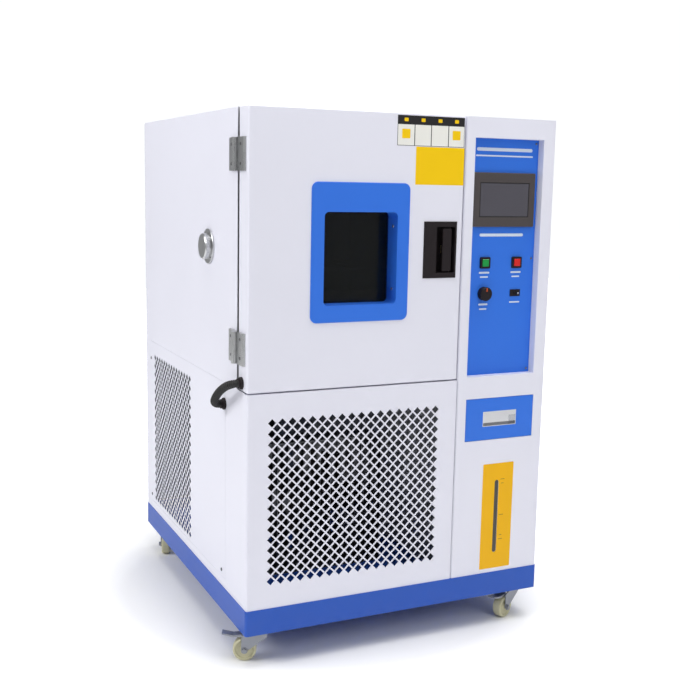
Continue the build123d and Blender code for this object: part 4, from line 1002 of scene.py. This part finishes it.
@dataclass
class Caster:
    """One caster's turned wheel and axle nuts, in place of the plain wheel.

    Attributes:
        place: Which corner it is at.
        pivot: The swivel axis, in millimetres.
        heading: The way the fork trails, in degrees.
        trail: Distance from the swivel axis to the axle.
        radius: Wheel radius.
        fork_half: Half the width over the fork.
        half_profile: Radius and half width of each point of the wheel.
        nut_steps: Radius, start, end and corners of each step of a nut.
    """

    place: str
    pivot: Pair
    heading: float
    trail: float = 34.0
    radius: float = 31.5
    fork_half: float = 18.0
    half_profile: tuple[Pair, ...] = (
        (5.1, 12.0), (9.0, 12.0), (10.5, 10.5), (12.0, 9.0), (21.0, 9.0), (23.0, 10.0), (24.5, 12.5),
        (27.0, 13.6), (29.5, 13.0), (31.0, 11.0), (31.5, 7.0))
    nut_steps: tuple[tuple[float, float, float, int], ...] = (
        (9.0, 0.0, 1.2, 24), (7.2, 1.2, 5.6, 6), (6.2, 5.6, 6.2, 6))

    def frame(self) -> Matrix:
        """Return the matrix from the axle, with Z along it, to the object's frame."""
        turn = math.radians(self.heading)
        centre = Vector((self.pivot[0] + self.trail * math.cos(turn),
                         self.pivot[1] + self.trail * math.sin(turn), self.radius))
        lying = Matrix.Rotation(math.pi / 2, 4, "X")
        return Matrix.Translation(centre * MM) @ Matrix.Rotation(turn, 4, "Z") @ lying

    def build(self) -> None:
        """Make the wheel and the two nuts."""
        profile = [(r * MM, w * MM) for r, w in self.half_profile]
        profile += [(r, -w) for r, w in reversed(profile)]
        build = lathed(profile)
        build.transform(self.frame())
        wheel = add_object(f"wheel_turned_{self.place}", mesh_of(build, 32), FINISHES["wheel_plastic"])
        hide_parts(f"caster_wheel_{self.place}")
        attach(wheel, f"caster_wheel_{self.place}")
        nuts = bmesh.new()
        for side in (-1, 1):
            for radius, start, stop, corners in self.nut_steps:
                seat = Matrix.Translation((0, 0, side * (self.fork_half + (start + stop) / 2) * MM))
                bmesh.ops.create_cone(nuts, cap_ends=True, segments=corners, radius1=radius * MM,
                                      radius2=radius * MM, depth=(stop - start) * MM, matrix=seat)
        nuts.transform(self.frame())
        piece = add_object(f"axle_nuts_{self.place}", mesh_of(nuts), FINISHES["zinc_steel"])
        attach(piece, f"caster_fork_{self.place}")
        log.info("caster %s", self.place)


@dataclass
class Studio:
    """The pale floor, the soft lights and the camera at the photograph's angle."""

    focal: float = 54.35
    sensor: float = 36.0
    place: Point = (-1280.1, -2872.5, 1256.8)
    yaw: float = 24.98
    pitch: float = 8.65
    roll: float = 1.11
    floor_size: float = 9.0
    fade_start: float = 0.6
    fade_length: float = 0.8
    sky_colour: tuple[float, ...] = (0.97, 0.98, 1.0, 1.0)
    sky_lit: float = 0.34
    sky_seen: float = 1.05
    softboxes: tuple[tuple[str, Point, Point, float, float], ...] = (
        ("overhead", (0.4, -0.6, 4.2), (0.0, 0.0, 0.0), 3.5, 150.0),
        ("left_softbox", (-4.0, -0.2, 3.4), (-0.4, 0.0, 1.3), 2.0, 102.0),
        ("front_softbox", (0.6, -4.4, 3.3), (0.0, -0.5, 1.3), 2.2, 36.0),
        ("rear_fill", (1.6, 4.2, 2.8), (0.0, 0.5, 0.9), 2.2, 38.0))

    def camera(self) -> None:
        """Make the camera from its yaw, pitch and roll."""
        yaw, pitch, roll = (math.radians(value) for value in (self.yaw, self.pitch, self.roll))
        ahead = Vector((math.sin(yaw) * math.cos(pitch), math.cos(yaw) * math.cos(pitch), -math.sin(pitch)))
        across = Vector((math.cos(yaw), -math.sin(yaw), 0.0))
        up = across.cross(ahead)
        right = math.cos(roll) * across + math.sin(roll) * up
        top = -math.sin(roll) * across + math.cos(roll) * up
        data = bpy.data.cameras.new("photo_camera")
        data.lens, data.sensor_width = self.focal, self.sensor
        camera = bpy.data.objects.new("photo_camera", data)
        basis = Matrix((right, top, -ahead)).transposed().to_4x4()
        camera.matrix_world = Matrix.Translation(Vector(self.place) * MM) @ basis
        bpy.context.scene.collection.objects.link(camera)
        bpy.context.scene.camera = camera

    def light(self, name: str, place: Point, target: Point, size: float, power: float) -> None:
        """Add a square area light that looks at a target, all in metres.

        Args:
            name: The light's name.
            place: Where it stands.
            target: What it looks at.
            size: Side of the square.
            power: Power in watts.
        """
        data = bpy.data.lights.new(name, "AREA")
        data.size, data.energy = size, power
        lamp = bpy.data.objects.new(name, data)
        lamp.location = place
        lamp.rotation_euler = (Vector(target) - Vector(place)).to_track_quat("-Z", "Y").to_euler()
        bpy.context.scene.collection.objects.link(lamp)

    def fade(self, material: bpy.types.Material) -> None:
        """Let the floor melt into the pale background away from the chamber, as the camera sees it.

        Args:
            material: The floor's material.
        """
        tree = material.node_tree
        shader = tree.nodes["Principled BSDF"]
        place, rays = tree.nodes.new("ShaderNodeTexCoord"), tree.nodes.new("ShaderNodeLightPath")
        reach = tree.nodes.new("ShaderNodeVectorMath")
        reach.operation = "LENGTH"
        fed(reach, {0: place.outputs["Object"]})
        away = math_node(tree, "SUBTRACT", reach.outputs["Value"], self.fade_start)
        share = math_node(tree, "DIVIDE", away, self.fade_length)
        share.node.use_clamp = True
        glow = math_node(tree, "MULTIPLY", share, rays.outputs["Is Camera Ray"])
        fed(shader, {"Emission Strength": glow, "Emission Color": (1.0, 1.0, 1.0, 1.0)})

    def build(self) -> None:
        """Make the floor, the lights, the world and the camera."""
        build = bmesh.new()
        half = self.floor_size
        corners = ((-half, -half), (half, -half), (half, half), (-half, half))
        build.faces.new([build.verts.new((x, y, 0)) for x, y in corners])
        floor = add_object("studio_floor", mesh_of(build), FLOOR_WHITE)
        self.fade(floor.active_material)
        world = bpy.data.worlds.new("studio")
        bpy.context.scene.world = world
        world.use_nodes = True
        nodes = world.node_tree.nodes
        nodes.clear()
        rays, out = nodes.new("ShaderNodeLightPath"), nodes.new("ShaderNodeOutputWorld")
        mix = fed(nodes.new("ShaderNodeMixShader"), {0: rays.outputs["Is Camera Ray"]})
        for index, strength in enumerate((self.sky_lit, self.sky_seen)):
            sky = fed(nodes.new("ShaderNodeBackground"), {"Color": self.sky_colour, "Strength": strength})
            fed(mix, {index + 1: sky.outputs[0]})
        fed(out, {"Surface": mix.outputs[0]})
        for softbox in self.softboxes:
            self.light(*softbox)
        self.camera()


def dress_nodes(frame: dict) -> None:
    """Give every solid the finish of its material slot.

    Args:
        frame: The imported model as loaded.
    """
    for entry in frame["record"]["subparts"]:
        node = frame["nodes"][entry["node"]]
        finish = FINISHES[entry["material_slot"]]
        node.data.materials.clear()
        node.data.materials.append(finish.material())


def main() -> None:
    logging.basicConfig(level=logging.INFO, format="%(name)s: %(message)s")
    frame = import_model()
    surface_detail_group()
    floor_dust_group()
    diamond_tree()
    scatter_tree()
    hose_tree()
    bpy.context.scene.view_settings.view_transform = "Standard"
    dress_nodes(frame)
    Studio().build()
    Cabinet().build()
    Hinges().build()
    Door().build()
    ControlColumn().build()
    Hose().build()
    for place, pivot, heading in CASTERS:
        Caster(place, pivot, heading).build()


if __name__ == "__main__":
    main()
